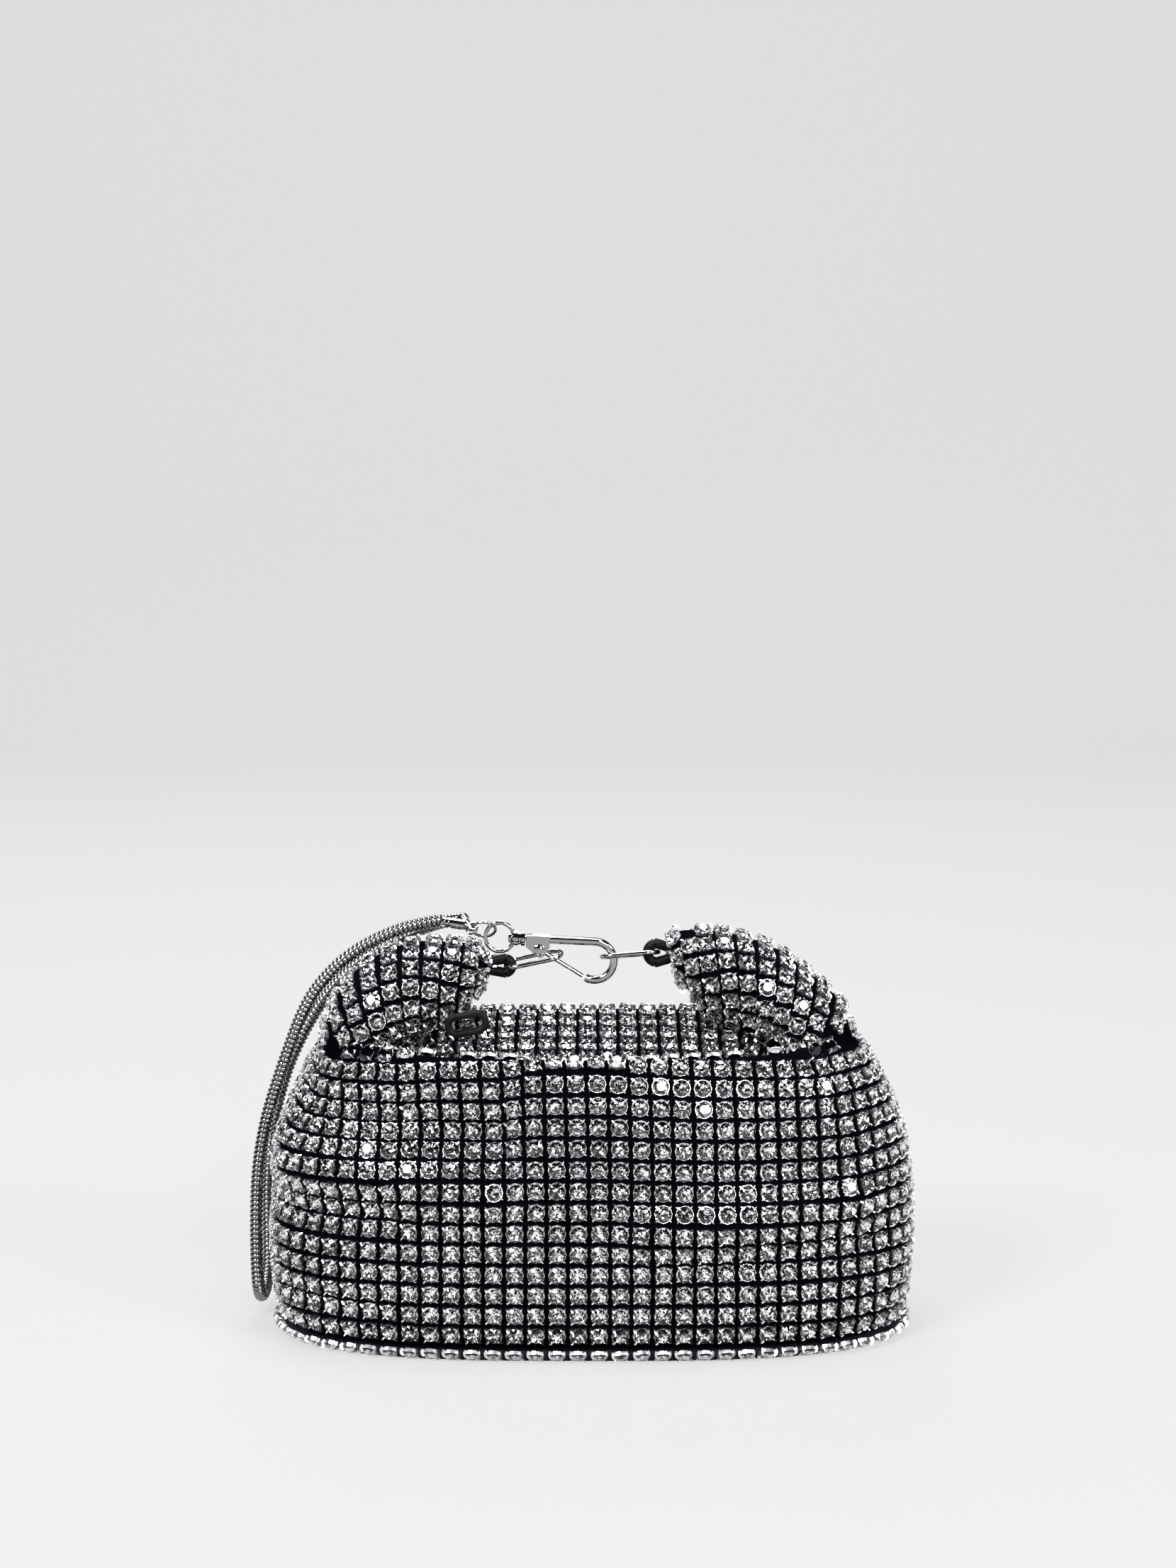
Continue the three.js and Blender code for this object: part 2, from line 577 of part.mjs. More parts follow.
function jumpPoint(turn) {
  return JUMP_PLACE.clone()
    .addScaledVector(new THREE.Vector3(1, 0, 0), JUMP_RADIUS * Math.cos(radians(turn)))
    .addScaledVector(JUMP_UP, JUMP_RADIUS * Math.sin(radians(turn)));
}

function jumpRing() {
  const mesh = piece('jump_ring', outward(new THREE.TorusGeometry(JUMP_RADIUS, JUMP_WIRE, 6, 16)), CHROME);
  mesh.position.copy(JUMP_PLACE);
  mesh.rotation.x = Math.PI / 2 + radians(JUMP_LEAN);
  return mesh;
}

// A cap with a bored tongue on the jump ring; its tube takes the chain's end
function endCap(name, place) {
  const hole = jumpPoint(place.turn);
  const wire = jumpPoint(place.turn + 2).sub(jumpPoint(place.turn - 2)).normalize();
  const axis = place.aim.clone().sub(hole).normalize();
  const side = axis.clone().cross(wire).normalize();
  const face = axis.clone().cross(side).normalize();
  const tongueRadius = CAP_RADIUS - TONGUE_STEP;
  const tongue = solid(new THREE.BoxGeometry(TONGUE_REACH + TONGUE_STEP, 2 * tongueRadius, TONGUE_THICK)
    .translate((TONGUE_REACH + TONGUE_STEP) / 2, 0, 0));
  const eye = solid(cylinder(tongueRadius, TONGUE_THICK, 14).rotateX(Math.PI / 2));
  const tube = solid(alongX(cylinder(CAP_RADIUS, CAP_LENGTH, 14), TONGUE_REACH, CAP_LENGTH));
  const bore = solid(cylinder(TONGUE_BORE, 3 * TONGUE_THICK, 12).rotateX(Math.PI / 2));
  const mesh = piece(name, geometryOf(eye.add(tongue).subtract(bore).add(tube)), CHROME);
  mesh.quaternion.setFromRotationMatrix(new THREE.Matrix4().makeBasis(axis, side, face));
  mesh.position.copy(hole);
  return mesh;
}

function capMouth(place) {
  const hole = jumpPoint(place.turn);
  const axis = place.aim.clone().sub(hole).normalize();
  return { mouth: hole.addScaledVector(axis, TONGUE_REACH + CAP_LENGTH + GAP), axis };
}

function wristlet() {
  const group = new THREE.Group();
  const front = capMouth(FRONT_CAP);
  const back = capMouth(BACK_CAP);
  group.add(jumpRing());
  group.add(endCap('front_end_cap', FRONT_CAP));
  group.add(endCap('back_end_cap', BACK_CAP));
  const points = [
    front.mouth,
    front.mouth.clone().addScaledVector(front.axis, 1),
    ...CHAIN_ROUTE.map((place) => new THREE.Vector3(...place)),
    back.mouth.clone().addScaledVector(back.axis, 1),
    back.mouth,
  ];
  const route = new THREE.CatmullRomCurve3(points, false, 'centripetal');
  const section = new THREE.Shape(arcPoints(0, 0, CHAIN_RADIUS, 0, 315, 7));
  const tube = new THREE.ExtrudeGeometry(section, { steps: 78, extrudePath: route });
  group.add(piece('snake_chain', outward(tube), CHROME));
  return group;
}

// Zip slider with its strip and leather pull, at the left end of the mouth
function zipPull() {
  const group = new THREE.Group();
  const seat = RIM_HEIGHT - VALLEY_DROP + SLIDER_LIFT;
  const slider = new THREE.BoxGeometry(SLIDER_LENGTH, MOUTH_WIDTH - 2 * GAP, SLIDER_THICK);
  slider.translate(SLIDER_X, MOUTH_Y, seat);
  group.add(piece('zip_slider', outward(slider), GUNMETAL));
  const radius = PULL_TALL / 2 - PULL_THICK / 2;
  const straight = PULL_LENGTH / 2 - PULL_THICK / 2 - radius;
  const loop = [...arcPoints(straight, 0, radius, -90, 90, 6), ...arcPoints(-straight, 0, radius, 90, 270, 6)];
  const tab = piece('zip_pull_tab', sweptBar(loop, PULL_THICK / 2, PULL_WIDTH / 2, 8, true), BLACK_LEATHER);
  tab.position.set(PULL_PLACE.x, PULL_PLACE.y, PULL_PLACE.z);
  tab.rotation.y = -radians(PULL_PLACE.rise);
  group.add(tab);
  const foot = new THREE.Vector2(SLIDER_X, seat + SLIDER_THICK / 2 + GAP + STRIP_THICK / 2);
  const head = new THREE.Vector2(PULL_PLACE.x + straight / 2, PULL_PLACE.z - PULL_TALL / 2 - GAP);
  const strip = sweptBar([foot, head], STRIP_THICK / 2, STRIP_WIDTH / 2, 8, false);
  strip.translate(0, PULL_PLACE.y - STRIP_WIDTH / 2, 0);
  group.add(piece('zip_pull_strip', strip, GUNMETAL));
  return group;
}

const bag = new THREE.Group();
bag.add(pouch());
bag.add(basePanel());
bag.add(tabLoop('left_tab_loop', -1, LEFT_EAR_SPREAD, LEFT_TIP, LEFT_LOOP_REACH, LEFT_LOOP_TALL));
bag.add(tabLoop('right_tab_loop', 1, RIGHT_EAR_SPREAD, RIGHT_TIP, RIGHT_LOOP_REACH, RIGHT_LOOP_TALL));
bag.add(link('left_link', LEFT_LINK_PLACE));
bag.add(link('right_link', RIGHT_LINK_PLACE));
bag.add(hookGroup());
bag.add(wristlet());
bag.add(zipPull());

export default bag;
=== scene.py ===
"""Looks of a crystal-mesh top-handle pouch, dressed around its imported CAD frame.

The forms are worked out in millimetres in the frame's own axes (+Z up, front at -Y) and
turned into Blender's metres by MM when a mesh is made.
"""

import math
import random
from math import cos, pi, radians, sin

import bpy
import numpy as np
from mathutils import Matrix, Vector
from mathutils.bvhtree import BVHTree

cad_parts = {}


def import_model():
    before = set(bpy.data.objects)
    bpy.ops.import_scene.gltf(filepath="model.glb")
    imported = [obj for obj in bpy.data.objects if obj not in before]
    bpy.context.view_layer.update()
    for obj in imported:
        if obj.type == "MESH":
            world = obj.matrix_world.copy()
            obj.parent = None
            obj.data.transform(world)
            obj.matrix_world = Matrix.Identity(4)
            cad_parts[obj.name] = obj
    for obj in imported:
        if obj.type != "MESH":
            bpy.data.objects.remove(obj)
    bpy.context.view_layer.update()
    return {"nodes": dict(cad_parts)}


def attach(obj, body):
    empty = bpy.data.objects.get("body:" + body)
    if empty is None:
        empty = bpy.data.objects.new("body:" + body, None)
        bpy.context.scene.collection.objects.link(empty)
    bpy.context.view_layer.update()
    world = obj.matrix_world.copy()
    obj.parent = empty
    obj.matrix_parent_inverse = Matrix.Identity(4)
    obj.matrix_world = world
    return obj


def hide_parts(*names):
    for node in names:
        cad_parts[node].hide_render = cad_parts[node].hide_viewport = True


MM = 0.001

# Pouch, in millimetres
BODY_WIDTH = 192
BODY_DEPTH = 94
RIM_HEIGHT = 86
SHOULDER_HEIGHT = 90
FOLD_HEIGHT = 94
BASE_THICKNESS = 2.4
GAP = 0.3
CORNER_POWER = 3
RIM_POWER = 2.5
MOUTH_WIDTH = 8
MOUTH_LENGTH = 126
MOUTH_SETBACK = 16.5
VALLEY_DROP = 7
VALLEY_INSET = 1.4
VALLEY_END_POWER = 8
COVER_END = 0.93
COVER_SWELL = 1.2
LIP_POWER = 3
FLOOR_INSET = 0.3
LEAST_DEPTH = 3
EAR_SETBACK = 43
LEFT_EAR_SPREAD = 29.9
RIGHT_EAR_SPREAD = 23.65
LEFT_EAR_TOP = 115.4
RIGHT_EAR_TOP = 118.6
EAR_LEAST = 0.5
STONE_DEPTH = 2.2
CLOTH_THICK = 0.8
# Pleats: share of the ear's radius, rows of its table that they fade over, and crowding to the tip
PLEAT_DEPTH = 0.09
PLEAT_REACH = 1.4
PLEAT_CROWDING = 1.3

HALF_WIDTH = BODY_WIDTH / 2
HALF_DEPTH = BODY_DEPTH / 2
BODY_FLOOR = BASE_THICKNESS + GAP
MOUTH_Y = MOUTH_SETBACK - HALF_DEPTH
EAR_Y = EAR_SETBACK - HALF_DEPTH

# Hardware, in millimetres
HOOK_REACH = 19.8
BOW_RADIUS = 5.7
BAR_TALL = 2.4
BAR_DEEP = 3.2
BAR_PLACES = (2, 5, 9, 14)
HOOK_DROOP = 2.7
HEEL = 0.6
CHEEK_REACH = 6.4
CHEEK_DROP = 5.4
CHEEK_THICK = 0.8
CHEEK_BACK = 1.2
BOW_END = -116
PIVOT = Vector((3.4, 0, -3.1))
GATE_THICK = 1.3
GATE_TALL = 1.2
PIN_RADIUS = 0.8
PIN_HEAD_RADIUS = 1.7
PIN_HEAD_THICK = 0.4
PIN_HEAD_EDGE = 0.3
BOSS_EDGE = 0.1
COLLAR_RADIUS = 2.3
COLLAR_LENGTH = 3.7
COLLAR_GROOVE = 0.3
COLLAR_EDGE = 0.15
POST_RADIUS = 0.85
POST_HEAD_RADIUS = 1.45
POST_HEAD_THICK = 1
POST_HEAD_EDGE = 0.3
EYE_RADIUS = 4.25
EYE_WIRE = 0.42
LINK_LENGTH = 18.2
LINK_WIDTH = 8.4
LINK_WIRE = 0.7
LOOP_STRAP = 1.45
LOOP_PINCH = 0.7
PLATE_EDGE = 0.12
LEFT_LOOP = {"reach": 7.8, "tall": 7}
RIGHT_LOOP = {"reach": 8.6, "tall": 8.4}
JUMP_RADIUS = 3.4
JUMP_WIRE = 0.45
CAP_RADIUS = 1.55
CAP_LENGTH = 7
CAP_EDGE = 0.3
CAP_GROOVE = 0.22
CAP_GROOVE_STARTS = (4.4, 5.65)
TONGUE_THICK = 0.9
TONGUE_REACH = 2.3
TONGUE_RADIUS = 1.35
TONGUE_WIRE = 0.22
NECK_START = 1.3
NECK = ((0.7, 0), (0.75, 0.8), (1.1, 1.2))
CHAIN_RADIUS = 2
CHAIN_RIB = 1.45
CHAIN_GROOVE = 0.3
CHAIN_RIB_STEPS = 6
PULL_LENGTH = 12
PULL_TALL = 6.2
PULL_WIDTH = 3
PULL_THICK = 1.2
PULL_STRAP = 1
STRIP_WIDTH = 2.4
STRIP_THICK = 0.8
SLIDER_THICK = 2
SLIDER_LIFT = 2

# The way that swept sections keep to, and the turns that lay a lathed piece along X, -X and -Y
DEPTH_WAY = Vector((0, 1, 0))
FORWARD = Matrix.Rotation(pi / 2, 4, "Y")
BACKWARD = Matrix.Rotation(-pi / 2, 4, "Y")
SIDEWAYS = Matrix.Rotation(pi / 2, 4, "X")

# Seats of the stones: the mesh's square pitch, and where rows start and leave off
PITCH = 5.95
EAR_PITCH = 5.8
LEAST_SPACING = {"wall": 4.6, "cover": 3.7, "ear": 4.1}
SHELL_CLEARANCE = 0.9
FIRST_ROW = 4.5
BODY_ROWS = 32
MERIDIANS = 240
FOOT_ROW_HEIGHT = 2.6
FOOT_ROW_SPREAD = 0.2
FOOT_ROW_TILT = 58
FIRST_RING = 1
EAR_FINE = 12
EAR_TURNS = 72
NEXT_TURN = 0.03
NEXT_PLACE = 0.05
CELL = 8
SEAT_TILT = 0.035
SEAT_TURN = radians(3)
PANEL_SIDES = ((-pi / 2, ("front_left", "front_right")), (pi / 2, ("back_left", "back_right")))
# How far a stretch counts along a row where the cloth ends below it
ENDED_STEP = PITCH / 8

# The crystal's rings of points from table to tip: radius, height, number, and turn in steps
STONE_RADIUS = 2.4
TABLE_RING = (1.3, 1.98, 8, 0.5)
CROWN_RING = (1.95, 1.66, 8, 0)
GIRDLE_RING = (STONE_RADIUS, 1.2, 16, 0)
BACK_RING = (1.75, 0.75, 16, 0.5)
LOW_RING = (0.85, 0.42, 8, 0.25)
TIP_HEIGHT = 0.3
# The cup's rings from its foot over its edge to its inside: radius and height
CUP_RINGS = (
    (STONE_RADIUS - 0.05, 0),
    (STONE_RADIUS + 0.1, 1),
    (STONE_RADIUS + 0.02, 1),
    (STONE_RADIUS - 0.28, 0.4),
)
CUP_SIDES = 12
STONE_KINDS = 24
BODY_PANELS = ("front_left", "front_right", "back_left", "back_right", "cover")
# The grey and dark foil looks are painted reflections on the crystals' silver foil
STONE_LOOKS = ("glass", "foil", "foil_painted_grey_reflection", "foil_painted_dark_reflection", "cup")
CUP_SLOT = 4
# Chances of bright foil, and of grey and dark foil that are painted reflections, as slots in STONE_LOOKS
FOIL_AND_PAINTED_REFLECTION_SLOTS = (1, 1, 1, 1, 1, 1, 2, 3, 3)
# A claw's line from the cup's foot over the crystal's edge: reach past its radius, and height
CLAW = ((0.2, 0.2), (0.52, 0.9), (0.36, 1.45), (-0.4, 1.74))
CLAW_SECTION = ((-0.5, -0.18), (0.5, -0.18), (0.3, 0.18), (-0.3, 0.18))

# Side, front and back outline of the wall from floor to rim, as shares of the height and half sizes
WALL_COLUMNS = ("level", "width", "front", "back")
WALL = [
    (0, 0.955, 0.936, 0.95),
    (0.04, 0.975, 0.962, 0.97),
    (0.12, 0.99, 0.985, 0.99),
    (0.32, 1, 1, 1),
    (0.5, 0.993, 0.99, 0.985),
    (0.68, 0.965, 0.96, 0.92),
    (0.84, 0.905, 0.925, 0.7),
    (0.94, 0.85, 0.885, 0.39),
    (1, 0.8, 0.84, 0.13),
]

# Ridges and valleys of the slack cloth: from and to as shares of the half width and rim height,
# width as a share of the rim height and depth of the body's depth
FOLDS = [
    ((-0.96, 0.47), (-0.62, 0.49), 0.07, -0.026),
    ((-0.9, 0.62), (-0.3, 0.56), 0.09, 0.026),
    ((-0.86, 0.84), (-0.3, 0.76), 0.11, -0.045),
    ((-0.9, 0.19), (-0.62, 0.15), 0.035, -0.014),
    ((0.15, 0.42), (0.78, 0.52), 0.065, 0.022),
    ((0.3, 0.3), (0.85, 0.38), 0.065, -0.018),
]

# Sections of the ears from tip to root: across as a share of the way from the tip to the half width,
# up and tall of the ear's top, deep of the half depth, and tilt in degrees
EAR_COLUMNS = ("across", "up", "tilt", "tall", "deep")
LEFT_EAR = [
    (0, 0.92, -8, 0.019, 0.055),
    (0.012, 0.913, -10, 0.044, 0.12),
    (0.053, 0.902, -11, 0.074, 0.195),
    (0.116, 0.89, -9, 0.106, 0.277),
    (0.213, 0.874, -5, 0.126, 0.33),
    (0.319, 0.8544, 0, 0.1456, 0.372),
    (0.425, 0.8215, 8, 0.158, 0.415),
    (0.524, 0.7626, 20, 0.166, 0.457),
    (0.582, 0.6846, 34, 0.16, 0.44),
    (0.586, 0.5979, 50, 0.135, 0.4),
]
RIGHT_EAR = [
    (0, 0.9275, -8, 0.0186, 0.055),
    (0.013, 0.919, -10, 0.063, 0.149),
    (0.053, 0.9047, -11, 0.0953, 0.223),
    (0.123, 0.8853, -10, 0.118, 0.287),
    (0.212, 0.8685, -8, 0.1315, 0.33),
    (0.309, 0.8466, -4, 0.14, 0.362),
    (0.406, 0.8128, 4, 0.145, 0.404),
    (0.496, 0.7546, 14, 0.15, 0.447),
    (0.578, 0.6788, 28, 0.16, 0.44),
    (0.609, 0.5902, 45, 0.14, 0.4),
]
EARS = {
    "left": {"side": -1, "spread": LEFT_EAR_SPREAD, "top": LEFT_EAR_TOP, "rows": LEFT_EAR},
    "right": {"side": 1, "spread": RIGHT_EAR_SPREAD, "top": RIGHT_EAR_TOP, "rows": RIGHT_EAR},
}

HOOK_PLACE = Vector((-18.65, EAR_Y, 114.3))
JUMP_PLACE = Vector((-31.7, EAR_Y, 117))
JUMP_LEAN = 44
CAPS = {
    "front": {"turn": 154, "aim": Vector((-44.6, EAR_Y, 119.4))},
    "back": {"turn": 192, "aim": Vector((-38.6, EAR_Y + 9.6, 118.4))},
}
LEFT_LINK = {"x": -17.1, "z": 108.1, "rise": 12.2, "roll": 10}
RIGHT_LINK = {"x": 11.4, "z": 109.5, "rise": 5, "roll": -12}
SLIDER_X = -36.8
PULL_PLACE = {"x": -35.6, "y": -27.5, "z": 93.4, "rise": 10}

# The wristlet's chain, from the front cap down the left side and up behind to the back cap
CHAIN_ROUTE = [
    (-47.5, -4, 119.2), (-56, -4, 117.2), (-64.7, -4.2, 113.5), (-71.8, -4.5, 109), (-77.5, -5, 103.8),
    (-82, -5.5, 98.2), (-85.5, -6, 91.7), (-88.2, -6.5, 84.8), (-91.6, -7.2, 75.2), (-95.8, -8, 61.5),
    (-98.3, -8.6, 47.6), (-99.1, -9, 34.1), (-99.2, -9, 20.8), (-99, -8.2, 12.5), (-98.9, -4.5, 7.2),
    (-98.9, 2, 5.4), (-98.9, 9, 7), (-99, 14, 12.8), (-99.2, 16.2, 24), (-99, 17, 38), (-97.4, 18, 54),
    (-93.6, 19.5, 69), (-88.4, 20.8, 81), (-81.6, 21.2, 92), (-73, 20.6, 101.4), (-62.5, 19, 108.6),
    (-52, 16.2, 113.8), (-44, 11.8, 117),
]

dice = random.Random(7)


# Curves and tables


def hermite(low, high, before, after, share):
    """Value between two rows of a table, given their neighbours as (place, value) pairs."""
    span = high[0] - low[0]
    slope_low = (high[1] - before[1]) / (high[0] - before[0]) * span
    slope_high = (after[1] - low[1]) / (after[0] - low[0]) * span
    square = share * share
    cube = square * share
    return (
        low[1] * (2 * cube - 3 * square + 1)
        + slope_low * (cube - 2 * square + share)
        + high[1] * (3 * square - 2 * cube)
        + slope_high * (cube - square)
    )


def read(pairs, place):
    """Smooth curve through a list of (place, value) pairs."""
    row = 1
    while row < len(pairs) - 1 and pairs[row][0] < place:
        row += 1
    low, high = pairs[row - 1], pairs[row]
    before = pairs[max(row - 2, 0)]
    after = pairs[min(row + 1, len(pairs) - 1)]
    return hermite(low, high, before, after, (place - low[0]) / (high[0] - low[0]))


WALL_CURVES = {
    name: [(row[0], row[column]) for row in WALL] for column, name in enumerate(WALL_COLUMNS)
}


def squared(angle, power):
    """Cosine and sine of an angle, which a power above 2 squares off towards a rectangle."""
    return [math.copysign(abs(value) ** (2 / power), value) for value in (cos(angle), sin(angle))]


def along(points):
    """Running length along a list of points."""
    lengths = [0.0]
    for first, second in zip(points, points[1:]):
        lengths.append(lengths[-1] + (second - first).length)
    return lengths


def at_length(points, lengths, length):
    """Point at a running length along a list of points."""
    step = int(np.searchsorted(lengths, length))
    step = min(max(step, 1), len(points) - 1)
    span = lengths[step] - lengths[step - 1]
    share = (length - lengths[step - 1]) / span if span else 0
    return points[step - 1].lerp(points[step], min(max(share, 0), 1))


def spline(points, steps):
    """Smooth curve through points, as steps places between each two."""
    smooth = []
    last = len(points) - 1
    for i in range(last):
        before, low = points[max(i - 1, 0)], points[i]
        high, after = points[i + 1], points[min(i + 2, last)]
        for step in range(steps):
            t = step / steps
            smooth.append(
                0.5
                * (
                    2 * low
                    + (high - before) * t
                    + (2 * before - 5 * low + 4 * high - after) * t**2
                    + (3 * low - before - 3 * high + after) * t**3
                )
            )
    return smooth + [points[-1].copy()]


# The pouch's surface


def fold_push(x, z, facing):
    """How far the folds push the front cloth out at a place on it."""
    push = 0.0
    for first, last, width, depth in FOLDS:
        start = Vector((first[0] * HALF_WIDTH, first[1] * RIM_HEIGHT))
        line = Vector((last[0] * HALF_WIDTH, last[1] * RIM_HEIGHT)) - start
        away = Vector((x, z)) - start
        share = min(max(away.dot(line) / line.length_squared, 0), 1)
        far = (away - share * line).length / (width * RIM_HEIGHT)
        push += depth * BODY_DEPTH * math.exp(-far * far)
    return push * facing


def wall_point(angle, level, inset):
    """Point of the wall: angle runs round the pouch, level from the floor to the rim."""
    across, ahead = squared(angle, CORNER_POWER)
    rim = (
        SHOULDER_HEIGHT
        + (RIM_HEIGHT - SHOULDER_HEIGHT) * max(-ahead, 0) ** RIM_POWER
        + (FOLD_HEIGHT - SHOULDER_HEIGHT) * max(ahead, 0) ** RIM_POWER
        - inset
    )
    floor = BODY_FLOOR + inset * FLOOR_INSET
    z = floor + (rim - floor) * level
    x = (HALF_WIDTH * read(WALL_CURVES["width"], level) - inset) * across
    side = "front" if ahead < 0 else "back"
    depth = max(HALF_DEPTH * read(WALL_CURVES[side], level) - inset, LEAST_DEPTH)
    facing = min(max(-ahead, 0) * 2, 1) * sin(pi * level) ** 0.5
    push = fold_push(x, z, facing)
    y = depth * ahead - push * max(-ahead, 0)
    return Vector((x + push * across * abs(across), y, z))


def top_point(angle, share, inset):
    """Point of the top, between the rim and the valley where the mouth lies."""
    rim = wall_point(angle, 1, inset)
    reach = MOUTH_LENGTH / 2 + MOUTH_WIDTH
    x = rim.x / (1 + abs(rim.x / reach) ** VALLEY_END_POWER) ** (1 / VALLEY_END_POWER)
    valley = Vector((x, MOUTH_Y, RIM_HEIGHT - VALLEY_DROP - VALLEY_INSET * inset))
    point = rim.lerp(valley, share)
    point.z += COVER_SWELL * sin(pi * share)
    hold = max(-sin(angle), 0) ** 0.5
    point.z += hold * (share - share**LIP_POWER) * (rim.z - valley.z)
    return point


def meridian(angle, inset, wall_steps=60, top_steps=24):
    """Lines over the pouch at one angle: up the wall, and the same on over the rim to the mouth."""
    up = [wall_point(angle, step / wall_steps, inset) for step in range(wall_steps + 1)]
    over = [top_point(angle, COVER_END * step / top_steps, inset) for step in range(1, top_steps + 1)]
    return up, up + over


def ear_section(ear, place):
    """Centre, tilt and half sizes of an ear at a place counted in rows of its table."""
    value = {}
    for column, name in enumerate(EAR_COLUMNS):
        pairs = [(row, entry[column]) for row, entry in enumerate(ear["rows"])]
        value[name] = read(pairs, place)
    return value


def ear_point(ear, place, angle, inset):
    """Point of an ear: place counts rows of its table from the tip, angle runs round it from the top."""
    row = ear_section(ear, place)
    tall = max(row["tall"] * ear["top"] - inset, EAR_LEAST)
    deep = max(row["deep"] * HALF_DEPTH - inset, EAR_LEAST)
    tilt = radians(row["tilt"])
    spread = ear["spread"]
    across = spread + row["across"] * (HALF_WIDTH - spread) + tall * cos(angle) * sin(tilt)
    return Vector(
        (
            ear["side"] * across,
            EAR_Y + deep * sin(angle),
            row["up"] * ear["top"] + tall * cos(angle) * cos(tilt),
        )
    )


# Meshes


def mesh_object(name, points, faces, materials, slots=None, smooth=True, sharp=40, uvs=None):
    """Object from points in millimetres; slots gives each face its material's number."""
    mesh = bpy.data.meshes.new(name)
    mesh.from_pydata([tuple(Vector(point) * MM) for point in points], [], faces)
    for material in materials:
        mesh.materials.append(material)
    if slots is not None:
        mesh.polygons.foreach_set("material_index", slots)
    mesh.polygons.foreach_set("use_smooth", [smooth] * len(mesh.polygons))
    if uvs is not None:
        layer = mesh.uv_layers.new(name="flat")
        for loop in mesh.loops:
            layer.data[loop.index].uv = uvs[loop.vertex_index]
    mesh.update()
    if smooth:
        mesh.set_sharp_from_angle(angle=radians(sharp))
    made = bpy.data.objects.new(name, mesh)
    bpy.context.scene.collection.objects.link(made)
    return made


def grid_faces(rings, count, closed_long=False):
    """Quads between closed rings of count points each."""
    faces = []
    for ring in range(rings if closed_long else rings - 1):
        low, high = ring * count, (ring + 1) % rings * count
        for side in range(count):
            turn = (side + 1) % count
            faces.append([low + side, low + turn, high + turn, high + side])
    return faces


def capped_faces(rings, count):
    """Quads between closed rings, and a face over the first and the last."""
    last = (rings - 1) * count
    ends = [list(range(count))[::-1], [last + side for side in range(count)]]
    return grid_faces(rings, count) + ends


def swept(path, section, closed=False, up=None, scale=None):
    """Points and faces of a section swept along a path, kept square to up where it is given.

    A closed path joins its ends, and an open one is capped. Scale gives the section's size at a
    share of the path.
    """
    count = len(path)
    points = []
    side = None
    for step, place in enumerate(path):
        before = path[(step - 1) % count] if closed else path[max(step - 1, 0)]
        after = path[(step + 1) % count] if closed else path[min(step + 1, count - 1)]
        ahead = (after - before).normalized()
        if up is not None:
            side = up.cross(ahead).normalized()
        elif side is None:
            side = ahead.orthogonal().normalized()
        else:
            side = (side - ahead * side.dot(ahead)).normalized()
        rise = ahead.cross(side)
        size = scale(step / (count - 1)) if scale else 1
        points += [place + (side * u + rise * v) * size for u, v in section]
    if closed:
        return points, grid_faces(count, len(section), closed_long=True)
    return points, capped_faces(count, len(section))


def oval(half_u, half_v, sides, power=2):
    """Rounded section with half sizes; a power above 2 squares it."""
    corners = [squared(2 * pi * (side + 0.5) / sides, power) for side in range(sides)]
    return [(half_u * u, half_v * v) for u, v in corners]


def joined(parts):
    """Points and faces of several parts as one."""
    points, faces = [], []
    for part_points, part_faces in parts:
        start = len(points)
        points += part_points
        faces += [[start + corner for corner in face] for face in part_faces]
    return points, faces


def ring_points(radius, height, count, turn=0):
    """Points round Z; turn shifts them, in steps from one to the next."""
    angles = [2 * pi * (i + turn) / count for i in range(count)]
    return [Vector((radius * cos(angle), radius * sin(angle), height)) for angle in angles]


def lathe(profile, sides):
    """Points and faces of a profile of (radius, height) turned round Z, closed at both ends."""
    points = []
    for radius, height in profile:
        points += ring_points(radius, height, sides)
    return points, capped_faces(len(profile), sides)


def moved(part, matrix):
    """A part's points and faces, with the points moved by a matrix."""
    points, faces = part
    return [matrix @ point for point in points], faces


def arc(x, z, radius, start, end, steps):
    """Points of an arc in the XZ plane, in degrees."""
    turns = [radians(start + (end - start) * step / steps) for step in range(steps + 1)]
    return [Vector((x + radius * cos(turn), 0, z + radius * sin(turn))) for turn in turns]


def ridden(name, part, look, node_name, body="bag", sharp=40, uvs=None):
    """Piece of one material with the node it replaces and the body it rides."""
    points, faces = part
    made = mesh_object(name, points, faces, [look], sharp=sharp, uvs=uvs)
    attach(made, body)
    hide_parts(node_name)
    return made


# Materials


def new_material(name, color, roughness, metallic=0.0, **sockets):
    """Principled material; sockets are the shader's other inputs, with _ for a space."""
    material = bpy.data.materials.new(name)
    material.use_nodes = True
    shader = material.node_tree.nodes["Principled BSDF"]
    shader.inputs["Base Color"].default_value = (*color, 1)
    shader.inputs["Roughness"].default_value = roughness
    shader.inputs["Metallic"].default_value = metallic
    for socket, value in sockets.items():
        shader.inputs[socket.replace("_", " ")].default_value = value
    return material


def node(material, kind, **inputs):
    """New shader node with its inputs set, with _ for a space in their names."""
    made = material.node_tree.nodes.new(kind)
    for name, value in inputs.items():
        made.inputs[name.replace("_", " ")].default_value = value
    return made


def wire(material, source, output, target, socket):
    """Links one node's output to another's input."""
    material.node_tree.links.new(source.outputs[output], target.inputs[socket])


def shader_of(material):
    return material.node_tree.nodes["Principled BSDF"]


def noise(material, scale, detail=4):
    """Noise texture over the piece; scale counts features in a metre."""
    place = node(material, "ShaderNodeTexCoord")
    texture = node(material, "ShaderNodeTexNoise", Scale=scale, Detail=detail)
    wire(material, place, "Object", texture, "Vector")
    return texture


def vary(material, texture, socket, low, high):
    """Drives a shader's number by a texture, between low and high."""
    spread = node(material, "ShaderNodeMapRange", To_Min=low, To_Max=high)
    wire(material, texture, 0, spread, "Value")
    wire(material, spread, "Result", shader_of(material), socket)


